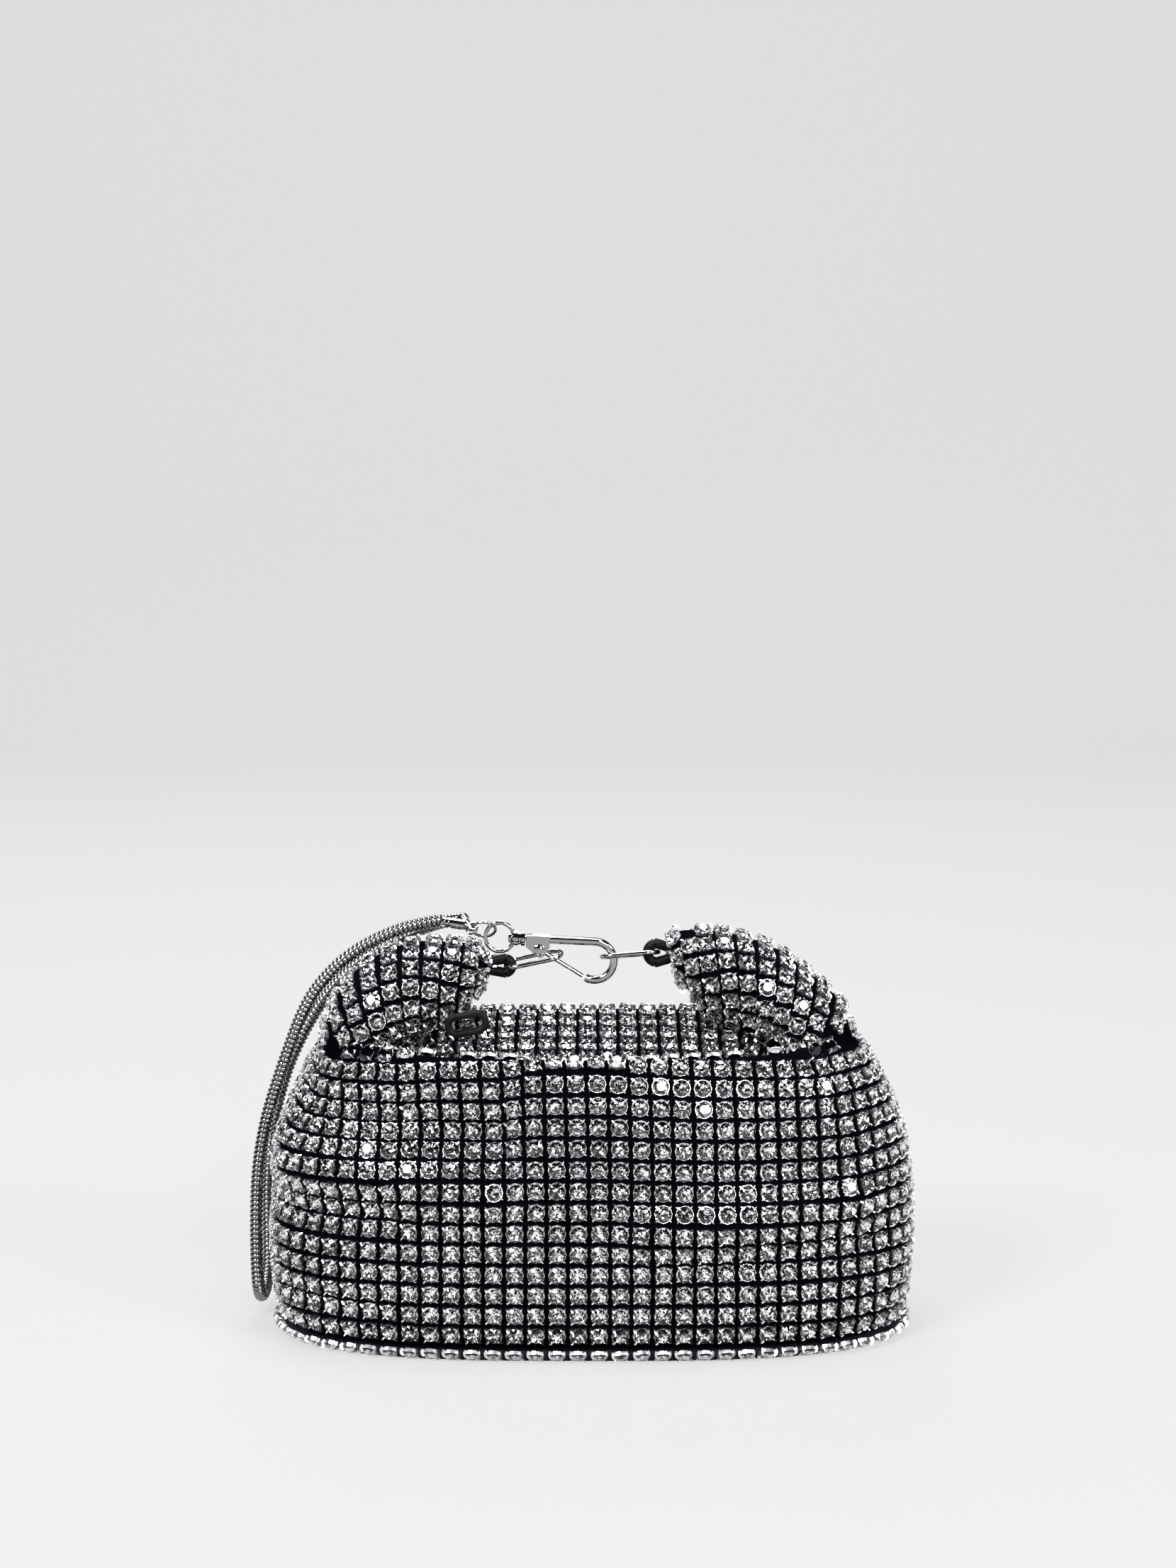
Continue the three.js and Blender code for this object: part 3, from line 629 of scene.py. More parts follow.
def tint(material, texture, dark, light):
    """Colours a shader by a texture, between two colours."""
    ramp = node(material, "ShaderNodeValToRGB")
    ramp.color_ramp.elements[0].position = 0.35
    ramp.color_ramp.elements[1].position = 0.65
    ramp.color_ramp.elements[0].color = (*dark, 1)
    ramp.color_ramp.elements[1].color = (*light, 1)
    wire(material, texture, 0, ramp, "Fac")
    wire(material, ramp, "Color", shader_of(material), "Base Color")


def bump(material, texture, distance, strength, output=0):
    """Raises a shader's surface by a texture; distance is in metres."""
    relief = node(material, "ShaderNodeBump", Strength=strength, Distance=distance)
    wire(material, texture, output, relief, "Height")
    wire(material, relief, "Normal", shader_of(material), "Normal")


def leather_material(name, color, roughness):
    """Grained leather with cloudy wear."""
    material = new_material(name, color, roughness, Specular_IOR_Level=0.05)
    place = node(material, "ShaderNodeTexCoord")
    grain = node(material, "ShaderNodeTexVoronoi", Scale=2600)
    wire(material, place, "Object", grain, "Vector")
    bump(material, grain, 0.00006, 0.5, "Distance")
    cloud = noise(material, 220)
    tint(material, cloud, color, [2.2 * c for c in color])
    vary(material, cloud, "Roughness", roughness - 0.08, roughness + 0.12)
    return material


def weave_material(name, color, thread):
    """Woven or knitted cloth; thread is its pitch in metres, laid along the piece's own flat map."""
    material = new_material(name, color, 0.85, Specular_IOR_Level=0.0)
    place = node(material, "ShaderNodeUVMap")
    place.uv_map = "flat"
    waves = []
    for direction in ("X", "Y"):
        wave = node(material, "ShaderNodeTexWave", Scale=0.5 / thread / 10)
        wave.bands_direction = direction
        wire(material, place, "UV", wave, "Vector")
        waves.append(wave)
    both = node(material, "ShaderNodeMath")
    both.operation = "MULTIPLY"
    wire(material, waves[0], "Fac", both, 0)
    wire(material, waves[1], "Fac", both, 1)
    bump(material, both, 0.00012, 0.5)
    cloud = noise(material, 60)
    tint(material, cloud, color, [1.9 * c for c in color])
    return material


def metal_material(name, color, roughness, spread=0.05):
    """Polished metal with faint handling marks."""
    material = new_material(name, color, roughness, metallic=1.0)
    marks = noise(material, 900, 8)
    vary(material, marks, "Roughness", max(roughness - spread, 0.02), roughness + spread)
    cloud = noise(material, 140)
    tint(material, cloud, [0.9 * c for c in color], color)
    bump(material, marks, 0.000012, 0.35)
    return material


def make_materials():
    glass = new_material(
        "crystal_glass", (1, 1, 1), 0.0, Transmission_Weight=1.0, IOR=1.56, Specular_IOR_Level=0.7
    )
    foil = new_material("crystal_foil", (0.99, 0.995, 1.0), 0.05, metallic=1.0)
    cup = new_material("setting_silver", (0.86, 0.86, 0.88), 0.2, metallic=1.0)
    vary(cup, noise(cup, 700), "Roughness", 0.14, 0.34)
    return {
        "glass": glass,
        "foil": foil,
        # Grey and near-black foil: painted reflections, standing in for the dark flashes of the crystals'
        # silver foil
        "foil_painted_grey_reflection": new_material("crystal_foil_painted_grey_reflection", (0.34, 0.34, 0.36), 0.05, metallic=1.0),
        "foil_painted_dark_reflection": new_material("crystal_foil_painted_dark_reflection", (0.012, 0.012, 0.015), 0.05, metallic=1.0),
        "cup": cup,
        "mesh": weave_material("mesh_cloth", (0.0005, 0.0006, 0.001), 0.0007),
        "leather": leather_material("black_leather", (0.0016, 0.0016, 0.002), 0.36),
        "panel": leather_material("base_leather", (0.004, 0.0045, 0.007), 0.6),
        "chrome": metal_material("chrome", (0.34, 0.345, 0.355), 0.05, 0.02),
        "chain": metal_material("chain_steel", (0.22, 0.223, 0.23), 0.1),
        "gunmetal": metal_material("gunmetal", (0.10, 0.10, 0.11), 0.25),
    }


# Stones


def crystal_part():
    """A round faceted crystal, seated point down: its points and faces, and each face's material.

    The crown is clear. Each facet of the foiled back gets one of three looks by chance: the bright foil, or
    grey and dark foil that are painted reflections, standing in for the light and dark flashes that the
    real ones show by turns.
    """
    points = []
    for ring in (TABLE_RING, CROWN_RING, GIRDLE_RING, BACK_RING, LOW_RING):
        points += ring_points(*ring)
    points.append(Vector((0, 0, TIP_HEIGHT)))
    mid, girdle, deep, low, tip = 8, 16, 32, 48, 56
    faces = [list(range(8))]
    slots = [0]
    for i in range(8):
        after = (i + 1) % 8
        faces += [
            [(i - 1) % 8, mid + i, i],
            [i, mid + i, girdle + 2 * i + 1],
            [i, girdle + 2 * i + 1, mid + after],
            [mid + i, girdle + 2 * i, girdle + 2 * i + 1],
            [mid + after, girdle + 2 * i + 1, girdle + (2 * i + 2) % 16],
        ]
        slots += [0] * 5
    for i in range(16):
        after = (i + 1) % 16
        faces += [[girdle + i, deep + i, girdle + after], [girdle + after, deep + i, deep + after]]
    for i in range(8):
        after = (i + 1) % 8
        faces += [
            [deep + 2 * i, low + i, deep + 2 * i + 1],
            [deep + 2 * i + 1, low + i, low + after],
            [deep + 2 * i + 1, low + after, deep + (2 * i + 2) % 16],
            [low + i, tip, low + after],
        ]
    # Back facets take the bright foil or a painted grey or dark reflection by chance
    slots += [dice.choice(FOIL_AND_PAINTED_REFLECTION_SLOTS) for _ in range(len(faces) - len(slots))]
    return (points, faces), slots


def cup_part():
    """The crystal's stamped cup: a low ring and four claws bent over the crystal's edge."""
    rings = []
    for radius, height in CUP_RINGS:
        rings += ring_points(radius, height, CUP_SIDES)
    parts = [(rings, grid_faces(len(CUP_RINGS), CUP_SIDES))]
    for quarter in range(4):
        turn = radians(45 + 90 * quarter)
        out = Vector((cos(turn), sin(turn), 0))
        path = [out * (STONE_RADIUS + reach) + Vector((0, 0, rise)) for reach, rise in CLAW]
        parts.append(swept(path, CLAW_SECTION, up=out.cross(Vector((0, 0, 1)))))
    return joined(parts)


def stone_templates():
    """Several stones that differ in which back facets carry the painted grey and dark reflections on their
    foil: points, faces and slots of each.
    """
    made = []
    for _ in range(STONE_KINDS):
        crystal, slots = crystal_part()
        cup = cup_part()
        points, faces = joined([crystal, cup])
        slots += [CUP_SLOT] * len(cup[1])
        made.append((np.array([tuple(point) for point in points]), faces, slots))
    return made


def set_stones(name, seats, kinds, looks):
    """One mesh of stones on their seats; a seat is (place, outward, along the row)."""
    all_points, all_faces, all_slots = [], [], []
    for place, outward, row in seats:
        tilt = Vector([dice.gauss(0, SEAT_TILT) for _ in range(3)])
        rise = (outward + tilt).normalized()
        side = (row - rise * row.dot(rise)).normalized()
        side.rotate(Matrix.Rotation(dice.gauss(0, SEAT_TURN), 3, rise))
        turn = np.array([side, rise.cross(side), rise])
        shape, faces, slots = dice.choice(kinds)
        all_slots += slots
        start = len(all_points)
        all_points.extend((shape @ turn + np.array(place)).tolist())
        all_faces.extend([[start + corner for corner in face] for face in faces])
    materials = [looks[look] for look in STONE_LOOKS]
    stones = mesh_object(name, all_points, all_faces, materials, slots=all_slots, smooth=False)
    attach(stones, "bag")


def seat_on(point, across, upward):
    """Seat from a point and two neighbours along the row and across it."""
    row = (across - point).normalized()
    outward = row.cross((upward - point).normalized()).normalized()
    return point, outward, row


def row_line(lines, height, offset):
    """A row's points by angle, or None where the meridian ends below the row."""
    found = []
    for line in lines:
        on_front = sin(line["angle"]) < 0
        limit = line["wall"] + PITCH if on_front else line["lengths"][-1]
        inside = height <= limit
        found.append(at_length(line["whole"], line["lengths"], height + offset) if inside else None)
    return found


def body_rows():
    """Seats on the wall and the top: rows at one pitch up each meridian, stones at one pitch along them."""
    lines = []
    for step in range(MERIDIANS):
        angle = 2 * pi * (step + 0.5) / MERIDIANS
        wall, whole = meridian(angle, STONE_DEPTH)
        lengths = along(whole)
        lines.append({"whole": whole, "lengths": lengths, "wall": lengths[len(wall) - 1], "angle": angle})
    seats = {name: [] for name in BODY_PANELS}
    for way in (-1, 1):
        foot_row(lines, way, seats)
    for row in range(BODY_ROWS):
        height = FIRST_ROW + PITCH * row
        here, above = row_line(lines, height, 0), row_line(lines, height, 0.5)
        for centre, panels in PANEL_SIDES:
            for way in (-1, 1):
                walk_row(lines, here, above, centre, way, panels, seats, height)
    return seats


def steps_from(centre, way):
    """Numbers of the meridians from a panel's centre towards one side seam, and one past it."""
    middle = int(round((centre % (2 * pi)) / (2 * pi) * MERIDIANS - 0.5))
    return [(middle + way * step) % MERIDIANS for step in range(MERIDIANS // 4 + 2)]


def foot_row(lines, way, seats):
    """Sets the lowest row, which leans under the pouch over its base."""
    tilt = radians(FOOT_ROW_TILT)
    for centre, panels in PANEL_SIDES:
        path = []
        for step in steps_from(centre, way):
            edge = wall_point(lines[step]["angle"], 0, -FOOT_ROW_SPREAD)
            path.append(Vector((edge.x, edge.y, FOOT_ROW_HEIGHT)))
        lengths = along(path)
        for stone in range(int(lengths[-2] / PITCH)):
            length = PITCH * (stone + 0.5)
            point = at_length(path, lengths, length)
            row = (at_length(path, lengths, length + 0.5) - point).normalized()
            outward = row.cross(Vector((0, 0, 1))).normalized()
            if outward.dot(point) < 0:
                outward = -outward
            outward = outward * cos(tilt) - Vector((0, 0, sin(tilt)))
            seats[panels[0] if point.x < 0 else panels[1]].append((point, outward, row))


def walk_row(lines, here, above, centre, way, panels, seats, height):
    """Sets stones along one row from the panel's centre towards one side seam."""
    steps = steps_from(centre, way)
    travelled = 0.0
    wanted = PITCH / 2
    for first, second in zip(steps, steps[1:]):
        low, high = here[first], here[second]
        if low is None or high is None:
            if travelled or low is not None or high is not None:
                travelled += ENDED_STEP
            continue
        span = (high - low).length
        while wanted <= travelled + span:
            share = (wanted - travelled) / span
            point = low.lerp(high, share)
            ahead = (high - low) * way
            upward = above[first].lerp(above[second], share)
            panel = panels[0] if point.x < 0 else panels[1]
            if height > lines[first]["wall"] + PITCH / 2:
                panel = "cover"
            seats[panel].append(seat_on(point, point + ahead, upward))
            wanted += PITCH
        travelled += span


def ear_rows(ear):
    """Seats in rings round an ear, from the tip to the root."""
    places = [step / EAR_FINE for step in range(EAR_FINE * (len(ear["rows"]) - 1) + 1)]
    lengths = along([ear_point(ear, place, pi / 2, 0) for place in places])
    turns = [2 * pi * step / EAR_TURNS for step in range(EAR_TURNS + 1)]
    seats = []
    length = FIRST_RING
    while length < lengths[-1]:
        place = float(np.interp(length, lengths, places))
        around = along([ear_point(ear, place, turn, STONE_DEPTH) for turn in turns])
        count = max(int(round(around[-1] / EAR_PITCH)), 3)
        for stone in range(count):
            wanted = around[-1] * (stone + 0.5) / count
            turn = float(np.interp(wanted, around, turns))
            point = ear_point(ear, place, turn, STONE_DEPTH)
            beside = ear_point(ear, place, turn + NEXT_TURN, STONE_DEPTH)
            onward = ear_point(ear, min(place + NEXT_PLACE, places[-1]), turn, STONE_DEPTH)
            _, outward, row = seat_on(point, beside, onward)
            opposite = ear_point(ear, place, turn + pi, STONE_DEPTH)
            if outward.dot(point - opposite) < 0:
                outward = -outward
            seats.append((point, outward, row))
        length += EAR_PITCH
    return seats


def crossings(tree, place, way):
    """How often a line from a place crosses a shell, up to a dozen times."""
    count, start = 0, place.copy()
    while count < 12:
        hit = tree.ray_cast(start, way)[0]
        if hit is None:
            break
        start = hit + way * 0.01
        count += 1
    return count


def inside(tree, place):
    """Whether a place lies in a shell, which lines both up and down from it have to say."""
    up = Vector((0, 0, 1))
    return crossings(tree, place, up) % 2 and crossings(tree, place, -up) % 2


def clear_of(seats, shells):
    """Seats that lie outside every shell and clear of its surface."""

    def hidden(place):
        return any(inside(tree, place) or tree.find_nearest(place)[3] < SHELL_CLEARANCE for tree in shells)

    return [seat for seat in seats if not hidden(seat[0])]


def spaced(groups):
    """Drops seats that lie too close to one set before, which a grid of cells finds."""
    taken = {}
    beside = [(dx, dy, dz) for dx in (-1, 0, 1) for dy in (-1, 0, 1) for dz in (-1, 0, 1)]
    for name, seats in groups.items():
        kept = []
        kind = "ear" if name.endswith("ear") else "cover" if name == "cover" else "wall"
        least = LEAST_SPACING[kind]
        for seat in seats:
            cell = tuple(int(c // CELL) for c in seat[0])
            cells = [(cell[0] + dx, cell[1] + dy, cell[2] + dz) for dx, dy, dz in beside]
            near = [other for close in cells for other in taken.get(close, [])]
            if all((seat[0] - other).length >= least for other in near):
                taken.setdefault(cell, []).append(seat[0])
                kept.append(seat)
        groups[name] = kept
    return groups


# Cloth


def cloth_shell(looks):
    """The pouch's cloth, wall, fold and cover down to the mouth; returns a shell to test places by."""
    around, wall_steps, top_steps = 200, 48, 12
    angles = [2 * pi * i / around for i in range(around)]
    rings = []
    for step in range(wall_steps + 1):
        rings.append([wall_point(angle, step / wall_steps, STONE_DEPTH) for angle in angles])
    for step in range(1, top_steps + 1):
        share = COVER_END * step / top_steps
        rings.append([top_point(angle, share, STONE_DEPTH) for angle in angles])
    points = [point for ring in rings for point in ring]
    faces = grid_faces(len(rings), around)
    uvs = []
    for ring in rings:
        uvs += [(length * MM, ring[0].z * MM) for length in along(ring)]
    shell = ridden("pouch_cloth", (points, faces), looks["mesh"], "pouch", sharp=60, uvs=uvs)
    thick = shell.modifiers.new("thickness", "SOLIDIFY")
    thick.thickness = CLOTH_THICK * MM
    thick.offset = -1
    return BVHTree.FromPolygons(points, [list(range(around)), *faces])


def ear_cloth(name, ear, looks):
    """One ear's cloth, gathered in pleats towards its tip; returns a shell to test places by."""
    around, steps, pleats = 72, 60, 9
    last = len(ear["rows"]) - 1
    points, uvs = [], []
    for step in range(steps + 1):
        place = last * (step / steps) ** PLEAT_CROWDING
        for i in range(around):
            angle = 2 * pi * i / around
            point = ear_point(ear, place, angle, STONE_DEPTH)
            middle = ear_point(ear, place, angle + pi, STONE_DEPTH).lerp(point, 0.5)
            pleat = 1 + PLEAT_DEPTH * math.exp(-place / PLEAT_REACH) * cos(pleats * angle)
            points.append(middle + (point - middle) * pleat)
            uvs.append((i * MM, step * MM))
    faces = capped_faces(steps + 1, around)
    if ear["side"] < 0:
        faces = [face[::-1] for face in faces]
    ridden(name, (points, faces), looks["mesh"], "pouch", sharp=60, uvs=uvs)
    return BVHTree.FromPolygons(points, faces)


def make_pouch(looks):
    """The cloth and its stones, which leave out where body and ears run into each other."""
    body_shell = cloth_shell(looks)
    ear_shells = [ear_cloth(f"{side}_ear_cloth", ear, looks) for side, ear in EARS.items()]
    groups = {}
    body = body_rows()
    for name in BODY_PANELS:
        groups[name] = clear_of(body[name], ear_shells)
    for side, ear in EARS.items():
        groups[f"{side}_ear"] = clear_of(ear_rows(ear), [body_shell])
    kinds = stone_templates()
    for name, seats in spaced(groups).items():
        set_stones(f"{name}_stones", seats, kinds, looks)


# Hardware


def oblong(length, width, inset, steps):
    """Line of a closed oblong ring in the XZ plane, from its outer size and its wire's inset."""
    radius = width / 2 - inset
    straight = length / 2 - inset - radius
    return arc(straight, 0, radius, -90, 90, steps) + arc(-straight, 0, radius, 90, 270, steps)


def make_links(looks):
    for name, place in (("left_link", LEFT_LINK), ("right_link", RIGHT_LINK)):
        path = oblong(LINK_LENGTH, LINK_WIDTH, LINK_WIRE, 20)
        part = swept(path, oval(LINK_WIRE, LINK_WIRE, 16), closed=True, up=DEPTH_WAY)
        rise = Matrix.Rotation(radians(-place["rise"]), 4, "Y")
        roll = Matrix.Rotation(radians(90 + place["roll"]), 4, "X")
        spot = Matrix.Translation((place["x"], EAR_Y, place["z"])) @ rise @ roll
        ridden(name + "_wire", moved(part, spot), looks["chrome"], name)


def make_tab_loops(looks):
    """Leather loops out of the ear tips, each pinched where it goes in."""
    for side, size in (("left", LEFT_LOOP), ("right", RIGHT_LOOP)):
        ear = EARS[side]
        way = ear["side"]
        radius = size["tall"] / 2 - LOOP_STRAP
        start = way * ear["spread"]
        far = start - way * (size["reach"] - LOOP_STRAP - radius)
        root = start + way * LOOP_STRAP
        pinch = LOOP_PINCH * LOOP_STRAP
        bow = arc(far, 0, radius, 90, 270 if way > 0 else -90, 20)
        path = spline([Vector((root, 0, pinch)), *bow, Vector((root, 0, -pinch))], 3)
        part = swept(path, oval(LOOP_STRAP, 1.3 * LOOP_STRAP, 20, 2.6), up=DEPTH_WAY)
        spot = Matrix.Translation((0, EAR_Y, ear_section(ear, 0)["up"] * ear["top"]))
        part = moved(part, spot)
        ridden(f"{side}_leather_loop", part, looks["leather"], f"{side}_tab_loop")


def extruded(outline, half):
    """Plate of an XZ outline, half thick either way along Y, with softened edges."""
    count = len(outline)
    centre = sum(outline, Vector((0, 0, 0))) / count
    edge = PLATE_EDGE
    points = []
    for y, shrink in ((-half, edge), (-half + edge, 0), (half - edge, 0), (half, edge)):
        for point in outline:
            points.append(point + Vector((0, y, 0)) - (point - centre).normalized() * shrink)
    return points, capped_faces(4, count)


def bow_point(turn):
    """Point on the hook's bow at an angle in degrees."""
    turn = radians(turn)
    return Vector((HOOK_REACH + BOW_RADIUS * cos(turn), 0, -BOW_RADIUS + BOW_RADIUS * sin(turn)))


def hook_bar():
    """The hook's bar, from the heel along the top and round the bow to its tip."""
    straight = [Vector((x, 0, 0)) for x in (-HEEL, *BAR_PLACES)]
    bow = arc(HOOK_REACH, -BOW_RADIUS, BOW_RADIUS, 90, BOW_END, 36)
    return swept(straight + bow, oval(BAR_TALL / 2, BAR_DEEP / 2, 20, 3), up=DEPTH_WAY)


def hook_cheeks():
    """The two plates that hold the gate's rivet, and the back that joins them."""
    half_gap = (GATE_THICK + 2 * GAP + CHEEK_THICK) / 2
    top = BAR_TALL / 2
    cheek = [
        Vector((-HEEL, 0, top)),
        Vector((CHEEK_REACH, 0, top)),
        Vector((CHEEK_REACH, 0, -BAR_TALL)),
        *arc(PIVOT.x, PIVOT.z, CHEEK_DROP + PIVOT.z, 0, -90, 8),
        Vector((-HEEL, 0, -COLLAR_RADIUS)),
    ]
    plate = extruded(cheek, CHEEK_THICK / 2)
    plates = [moved(plate, Matrix.Translation((0, side * half_gap, 0))) for side in (-1, 1)]
    corners = ((-HEEL, top), (CHEEK_BACK, top), (CHEEK_BACK, -COLLAR_RADIUS), (-HEEL, -COLLAR_RADIUS))
    return [*plates, extruded([Vector((x, 0, z)) for x, z in corners], half_gap)]


def swivel_post():
    """The headed post behind the heel, which the eye turns on."""
    length = GAP + COLLAR_LENGTH + GAP + POST_HEAD_THICK
    profile = [(POST_RADIUS, 0), (POST_RADIUS, length - POST_HEAD_THICK)]
    profile += [(POST_HEAD_RADIUS, length - 0.8), (POST_HEAD_RADIUS, length - 0.2)]
    profile.append((POST_HEAD_RADIUS - POST_HEAD_EDGE, length))
    return moved(lathe(profile, 24), Matrix.Translation((-HEEL, 0, 0)) @ BACKWARD)


def hook_gate():
    """The gate's lever, from its rivet to just short of the hook's tip."""
    line = bow_point(BOW_END) - PIVOT
    end = PIVOT + line.normalized() * (line.length - GAP - BAR_TALL / 4)
    section = oval(GATE_TALL / 2, GATE_THICK / 2, 14, 3)
    lever = swept([PIVOT, PIVOT.lerp(end, 0.5), end], section, up=DEPTH_WAY)
    radius = PIN_HEAD_RADIUS - GAP
    half = GATE_THICK / 2
    profile = [(radius - BOSS_EDGE, -half), (radius, -half + BOSS_EDGE)]
    profile += [(radius, half - BOSS_EDGE), (radius - BOSS_EDGE, half)]
    return joined([lever, moved(lathe(profile, 24), Matrix.Translation(PIVOT) @ SIDEWAYS)])


def gate_rivet():
    """The rivet through both cheeks, with a flat head at each end."""
    reach = (GATE_THICK + 2 * GAP) / 2 + CHEEK_THICK + GAP + PIN_HEAD_THICK
    head = reach - PIN_HEAD_THICK
    side = [(PIN_RADIUS, head), (PIN_HEAD_RADIUS, head)]
    side += [(PIN_HEAD_RADIUS, reach - PIN_HEAD_EDGE), (PIN_HEAD_RADIUS * 0.7, reach)]
    profile = [(radius, -height) for radius, height in side[::-1]] + side
    return moved(lathe(profile, 28), Matrix.Translation(PIVOT) @ SIDEWAYS)


def swivel_eye():
    """The eye's grooved collar round the post, and its ring."""
    start = -HEEL - GAP
    bore = POST_RADIUS + 0.2
    groove = COLLAR_RADIUS - COLLAR_GROOVE
    profile = [(bore, 0), (COLLAR_RADIUS - COLLAR_EDGE, 0), (COLLAR_RADIUS, COLLAR_EDGE)]
    profile += [(COLLAR_RADIUS, 1.1), (groove, 1.3), (groove, 1.9), (COLLAR_RADIUS, 2.1)]
    profile += [(COLLAR_RADIUS, COLLAR_LENGTH - 0.2), (COLLAR_RADIUS - 0.2, COLLAR_LENGTH)]
    profile.append((bore, COLLAR_LENGTH))
    collar = moved(lathe(profile, 32), Matrix.Translation((start, 0, 0)) @ BACKWARD)
    centre = start - COLLAR_LENGTH - EYE_RADIUS + EYE_WIRE
    path = arc(centre, 0, EYE_RADIUS, 0, 351, 39)
    ring = swept(path, oval(1.5 * EYE_WIRE, EYE_WIRE, 14), closed=True, up=DEPTH_WAY)
    return joined([collar, ring])


def make_hook(looks):
    spot = Matrix.Translation(HOOK_PLACE) @ Matrix.Rotation(radians(HOOK_DROOP), 4, "Y")
    chrome = looks["chrome"]
    body = joined([hook_bar(), *hook_cheeks(), swivel_post()])
    ridden("hook_body", moved(body, spot), chrome, "hook_frame", sharp=35)
    ridden("gate_bar", moved(hook_gate(), spot), chrome, "hook_gate", body="gate")
    ridden("gate_rivet", moved(gate_rivet(), spot), chrome, "gate_pin")
    ridden("eye_ring", moved(swivel_eye(), spot), chrome, "swivel_eye", body="eye")


def jump_axes():
    """The jump ring's two axes, across and up its plane."""
    lean = radians(JUMP_LEAN)
    return Vector((1, 0, 0)), Vector((0, -sin(lean), cos(lean)))


def jump_point(turn):
    """Point on the jump ring at an angle in degrees."""
    right, up = jump_axes()
    turn = radians(turn)
    return JUMP_PLACE + right * (JUMP_RADIUS * cos(turn)) + up * (JUMP_RADIUS * sin(turn))


def end_cap():
    """A cap lying along X: the tongue's eye round the origin, its neck and the grooved tube."""
    circle = [2 * pi * i / 24 for i in range(24)]
    path = [Vector((TONGUE_RADIUS * cos(turn), TONGUE_RADIUS * sin(turn), 0)) for turn in circle]
    eye = swept(path, oval(TONGUE_WIRE, TONGUE_THICK / 2, 12, 3), closed=True, up=Vector((0, 0, 1)))
    neck = moved(lathe(NECK, 20), Matrix.Translation((NECK_START, 0, 0)) @ FORWARD)
    groove = CAP_RADIUS - CAP_GROOVE
    profile = [(0.6, 0), (CAP_RADIUS - CAP_EDGE, 0), (CAP_RADIUS, CAP_EDGE)]
    for start in CAP_GROOVE_STARTS:
        profile += [(CAP_RADIUS, start), (groove, start + 0.15)]
        profile += [(groove, start + 0.5), (CAP_RADIUS, start + 0.65)]
    profile += [(CAP_RADIUS, CAP_LENGTH - 0.1), (CAP_RADIUS - 0.1, CAP_LENGTH)]
    tube = moved(lathe(profile, 32), Matrix.Translation((TONGUE_REACH, 0, 0)) @ FORWARD)
    return joined([eye, neck, tube])


def make_wristlet(looks):
    """The jump ring, both end caps on it and the chain between them."""
    right, up = jump_axes()
    path = [jump_point(turn) for turn in range(0, 360, 9)]
    ring = swept(path, oval(JUMP_WIRE, JUMP_WIRE, 14), closed=True, up=right.cross(up))
    ridden("jump_ring_wire", ring, looks["chrome"], "jump_ring")
    ends = {}
    for side, cap in CAPS.items():
        hole = jump_point(cap["turn"])
        axis = (cap["aim"] - hole).normalized()
        tangent = (jump_point(cap["turn"] + 2) - jump_point(cap["turn"] - 2)).normalized()
        across = axis.cross(tangent).normalized()
        turned = Matrix((axis, across, axis.cross(across).normalized())).transposed()
        spot = Matrix.Translation(hole) @ turned.to_4x4()
        ridden(f"{side}_cap_tube", moved(end_cap(), spot), looks["chrome"], f"{side}_end_cap")
        mouth = hole + axis * (TONGUE_REACH + CAP_LENGTH + GAP)
        ends[side] = [mouth, mouth + axis]
    middle = [Vector(place) for place in CHAIN_ROUTE]
    make_chain(spline(ends["front"] + middle + ends["back"][::-1], 24), looks)


def make_chain(route, looks):
    """Snake chain: close round ribs along the route."""
    lengths = along(route)
    ribs = int(round(lengths[-1] / CHAIN_RIB))
    steps = ribs * CHAIN_RIB_STEPS
    path = [at_length(route, lengths, lengths[-1] * step / steps) for step in range(steps + 1)]

    def size(share):
        """Size of the section, which dips to a groove between two ribs."""
        return 1 - CHAIN_GROOVE + CHAIN_GROOVE * abs(sin(pi * ribs * share)) ** 0.5

    part = swept(path, oval(CHAIN_RADIUS, CHAIN_RADIUS, 16), scale=size)
    ridden("snake_chain_ribs", part, looks["chain"], "snake_chain", sharp=50)


def make_zip(looks):
    """The zip's leather pull, and the metal strip that comes down from it to the slider."""
    x, y, z = PULL_PLACE["x"], PULL_PLACE["y"], PULL_PLACE["z"]
    path = oblong(PULL_LENGTH, PULL_TALL, PULL_THICK / 2, 16)
    part = swept(path, oval(PULL_STRAP, PULL_WIDTH / 2, 16, 3), closed=True, up=DEPTH_WAY)
    spot = Matrix.Translation((x, y, z)) @ Matrix.Rotation(radians(-PULL_PLACE["rise"]), 4, "Y")
    ridden("zip_leather_pull", moved(part, spot), looks["leather"], "zip_pull_tab")
    slider_top = RIM_HEIGHT - VALLEY_DROP + SLIDER_LIFT + SLIDER_THICK / 2
    foot = Vector((SLIDER_X, y - STRIP_WIDTH / 2, slider_top + GAP + STRIP_THICK / 2))
    head = Vector((x + (PULL_LENGTH - PULL_TALL) / 4, foot.y, z - PULL_TALL / 2 - GAP))
    section = oval(STRIP_THICK / 2, STRIP_WIDTH / 2, 14, 3)
    part = swept([foot, foot.lerp(head, 0.5), head], section, up=DEPTH_WAY)
    ridden("zip_metal_strip", part, looks["gunmetal"], "zip_pull_strip")


def dress_nodes(frame, looks):
    """Finishes of the CAD nodes that stay in view."""
    for name, look in (("base_panel", "panel"), ("zip_slider", "gunmetal")):
        mesh = frame["nodes"][name].data
        mesh.materials.clear()
        mesh.materials.append(looks[look])


# Studio

PAPER_GLOW = 0.615
# Radius of the paper's flat floor and of its sweep up, and its wall's height in front and behind, in metres
PAPER_FLAT = 2
PAPER_SWEEP = 0.5
PAPER_LOW = 0.62
PAPER_HIGH = 1.25
PAPER_SIDES = 96
PAPER_STEPS = 16
BAG_MIDDLE = (0, 0, 0.06)
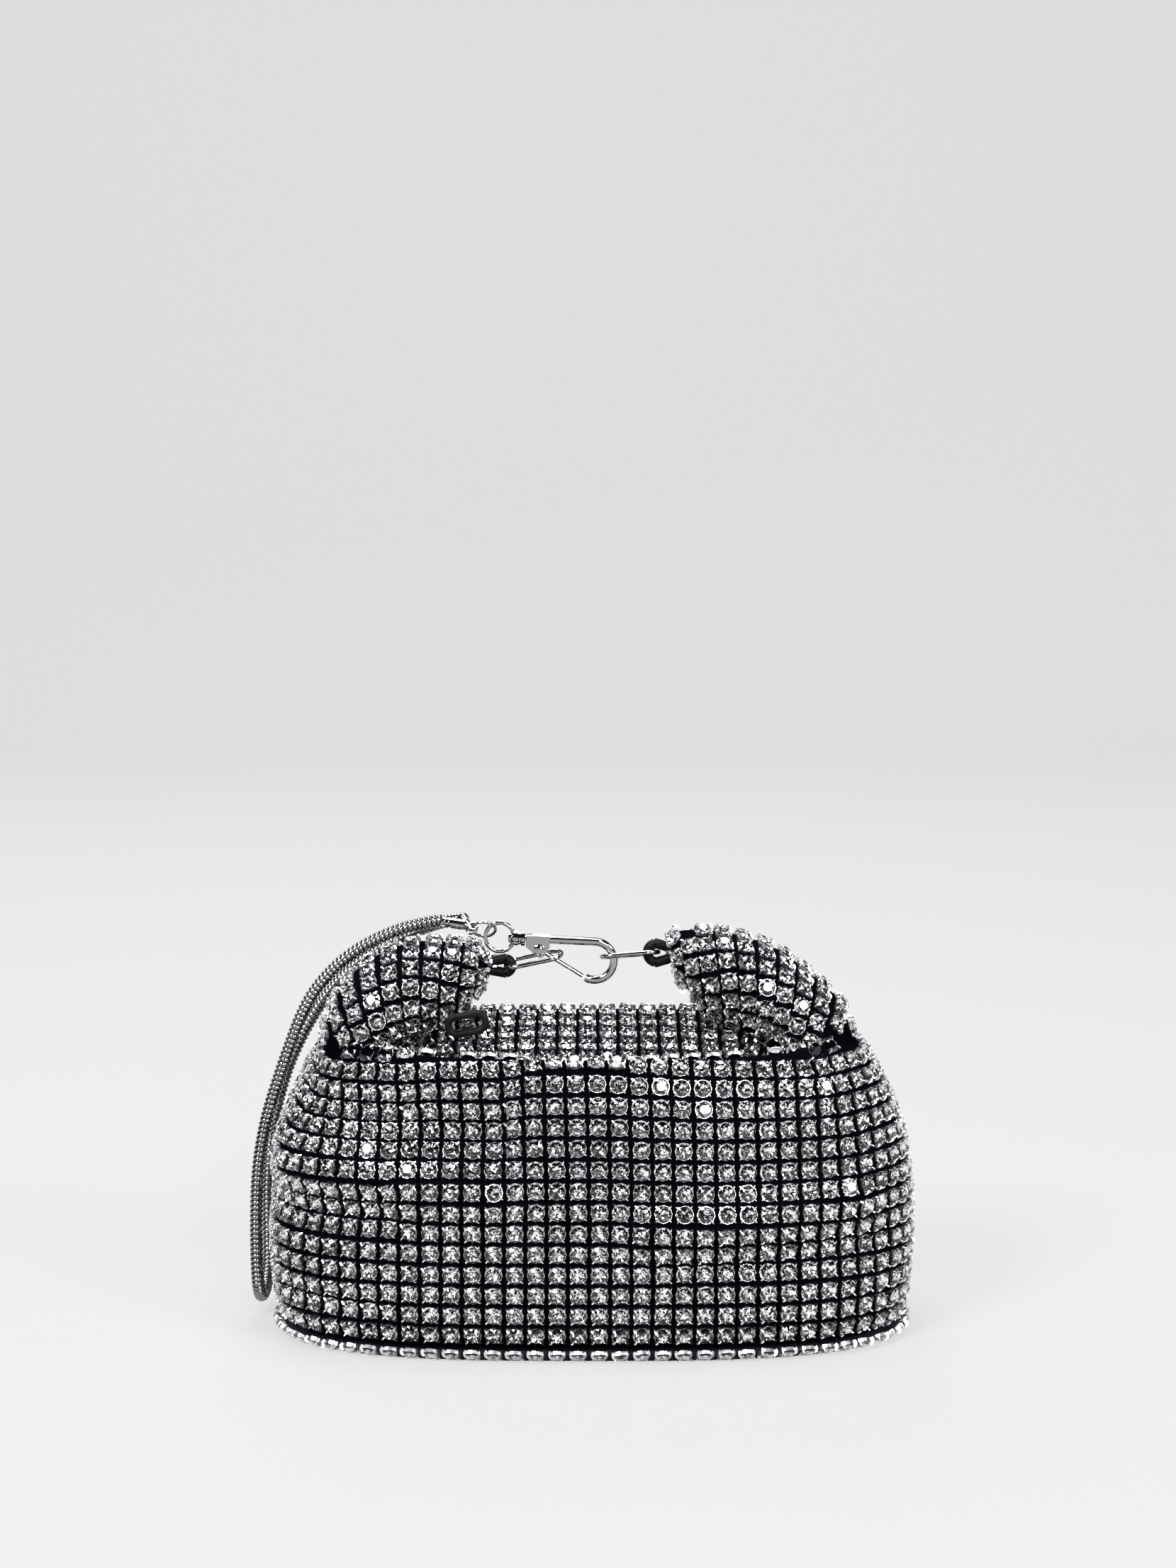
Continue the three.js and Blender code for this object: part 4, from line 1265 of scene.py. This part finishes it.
# Each lamp's aim and place in metres, width, height and power in watts
LAMPS = {
    "key": (BAG_MIDDLE, (-0.9, -1.1, 1.25), 0.6, 0.6, 80),
    "fill": (BAG_MIDDLE, (1.1, -0.9, 0.9), 0.4, 0.4, 40),
    "top": (BAG_MIDDLE, (0.1, 0.15, 1.6), 1, 0.5, 40),
    "strip": (BAG_MIDDLE, (0.3, -1.3, 0.6), 0.12, 0.6, 14),
    "back": (BAG_MIDDLE, (-0.4, 1.2, 1.3), 1, 0.4, 14),
    "backdrop": ((0, 2.5, 0.5), (0, 1.2, 1.6), 2, 0.4, 30),
}
CAMERA_PLACE = (-0.00105, -0.6763, 0.2212)
CAMERA_TILT = 84.8
CAMERA_SENSOR = 36
CAMERA_LENS = 52.89


def make_world(scene):
    """Plain colours, and a faint cool light from all sides."""
    scene.view_settings.view_transform = "Standard"
    world = bpy.data.worlds.new("studio")
    world.use_nodes = True
    background = world.node_tree.nodes["Background"]
    background.inputs["Color"].default_value = (0.80, 0.82, 0.86, 1)
    background.inputs["Strength"].default_value = 0.03
    scene.world = world


def make_paper():
    """White paper: a round floor that sweeps up into a wall, higher behind than in front."""
    paper = new_material("paper", (0.035, 0.035, 0.035), 0.9, Emission_Color=(1, 1, 1, 1))
    shader_of(paper).inputs["Emission Strength"].default_value = PAPER_GLOW
    profile = [(radius, 0) for radius in (0.001, 0.6, 1.3, PAPER_FLAT)]
    for step in range(1, PAPER_STEPS + 1):
        bend = pi / 2 * step / PAPER_STEPS
        profile.append((PAPER_FLAT + PAPER_SWEEP * sin(bend), 1 - cos(bend)))
    points = []
    for radius, rise in profile:
        for side in range(PAPER_SIDES):
            turn = 2 * pi * side / PAPER_SIDES
            height = PAPER_LOW + (PAPER_HIGH - PAPER_LOW) * max(sin(turn), 0) ** 2
            points.append(Vector((radius * cos(turn), radius * sin(turn), rise * height)) / MM)
    faces = grid_faces(len(profile), PAPER_SIDES)
    faces.append(list(range(PAPER_SIDES))[::-1])
    mesh_object("paper_floor", points, faces, [paper], sharp=80)


def make_lamps(scene):
    for name, (target, place, wide, tall, power) in LAMPS.items():
        lamp = bpy.data.lights.new(name, "AREA")
        lamp.shape = "RECTANGLE"
        lamp.size, lamp.size_y = wide, tall
        lamp.energy = power
        holder = bpy.data.objects.new(name, lamp)
        holder.location = place
        aim = Vector(target) - Vector(place)
        holder.rotation_euler = aim.to_track_quat("-Z", "Y").to_euler()
        scene.collection.objects.link(holder)


def make_camera(scene):
    lens = bpy.data.cameras.new("camera")
    lens.sensor_fit = "VERTICAL"
    lens.sensor_height = CAMERA_SENSOR
    lens.lens = CAMERA_LENS
    camera = bpy.data.objects.new("camera", lens)
    camera.location = CAMERA_PLACE
    camera.rotation_euler = (radians(CAMERA_TILT), 0, 0)
    scene.collection.objects.link(camera)
    scene.camera = camera


def main():
    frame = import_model()
    scene = bpy.context.scene
    make_camera(scene)
    make_world(scene)
    make_paper()
    make_lamps(scene)
    looks = make_materials()
    make_pouch(looks)
    make_links(looks)
    make_tab_loops(looks)
    make_hook(looks)
    make_wristlet(looks)
    make_zip(looks)
    dress_nodes(frame, looks)


main()
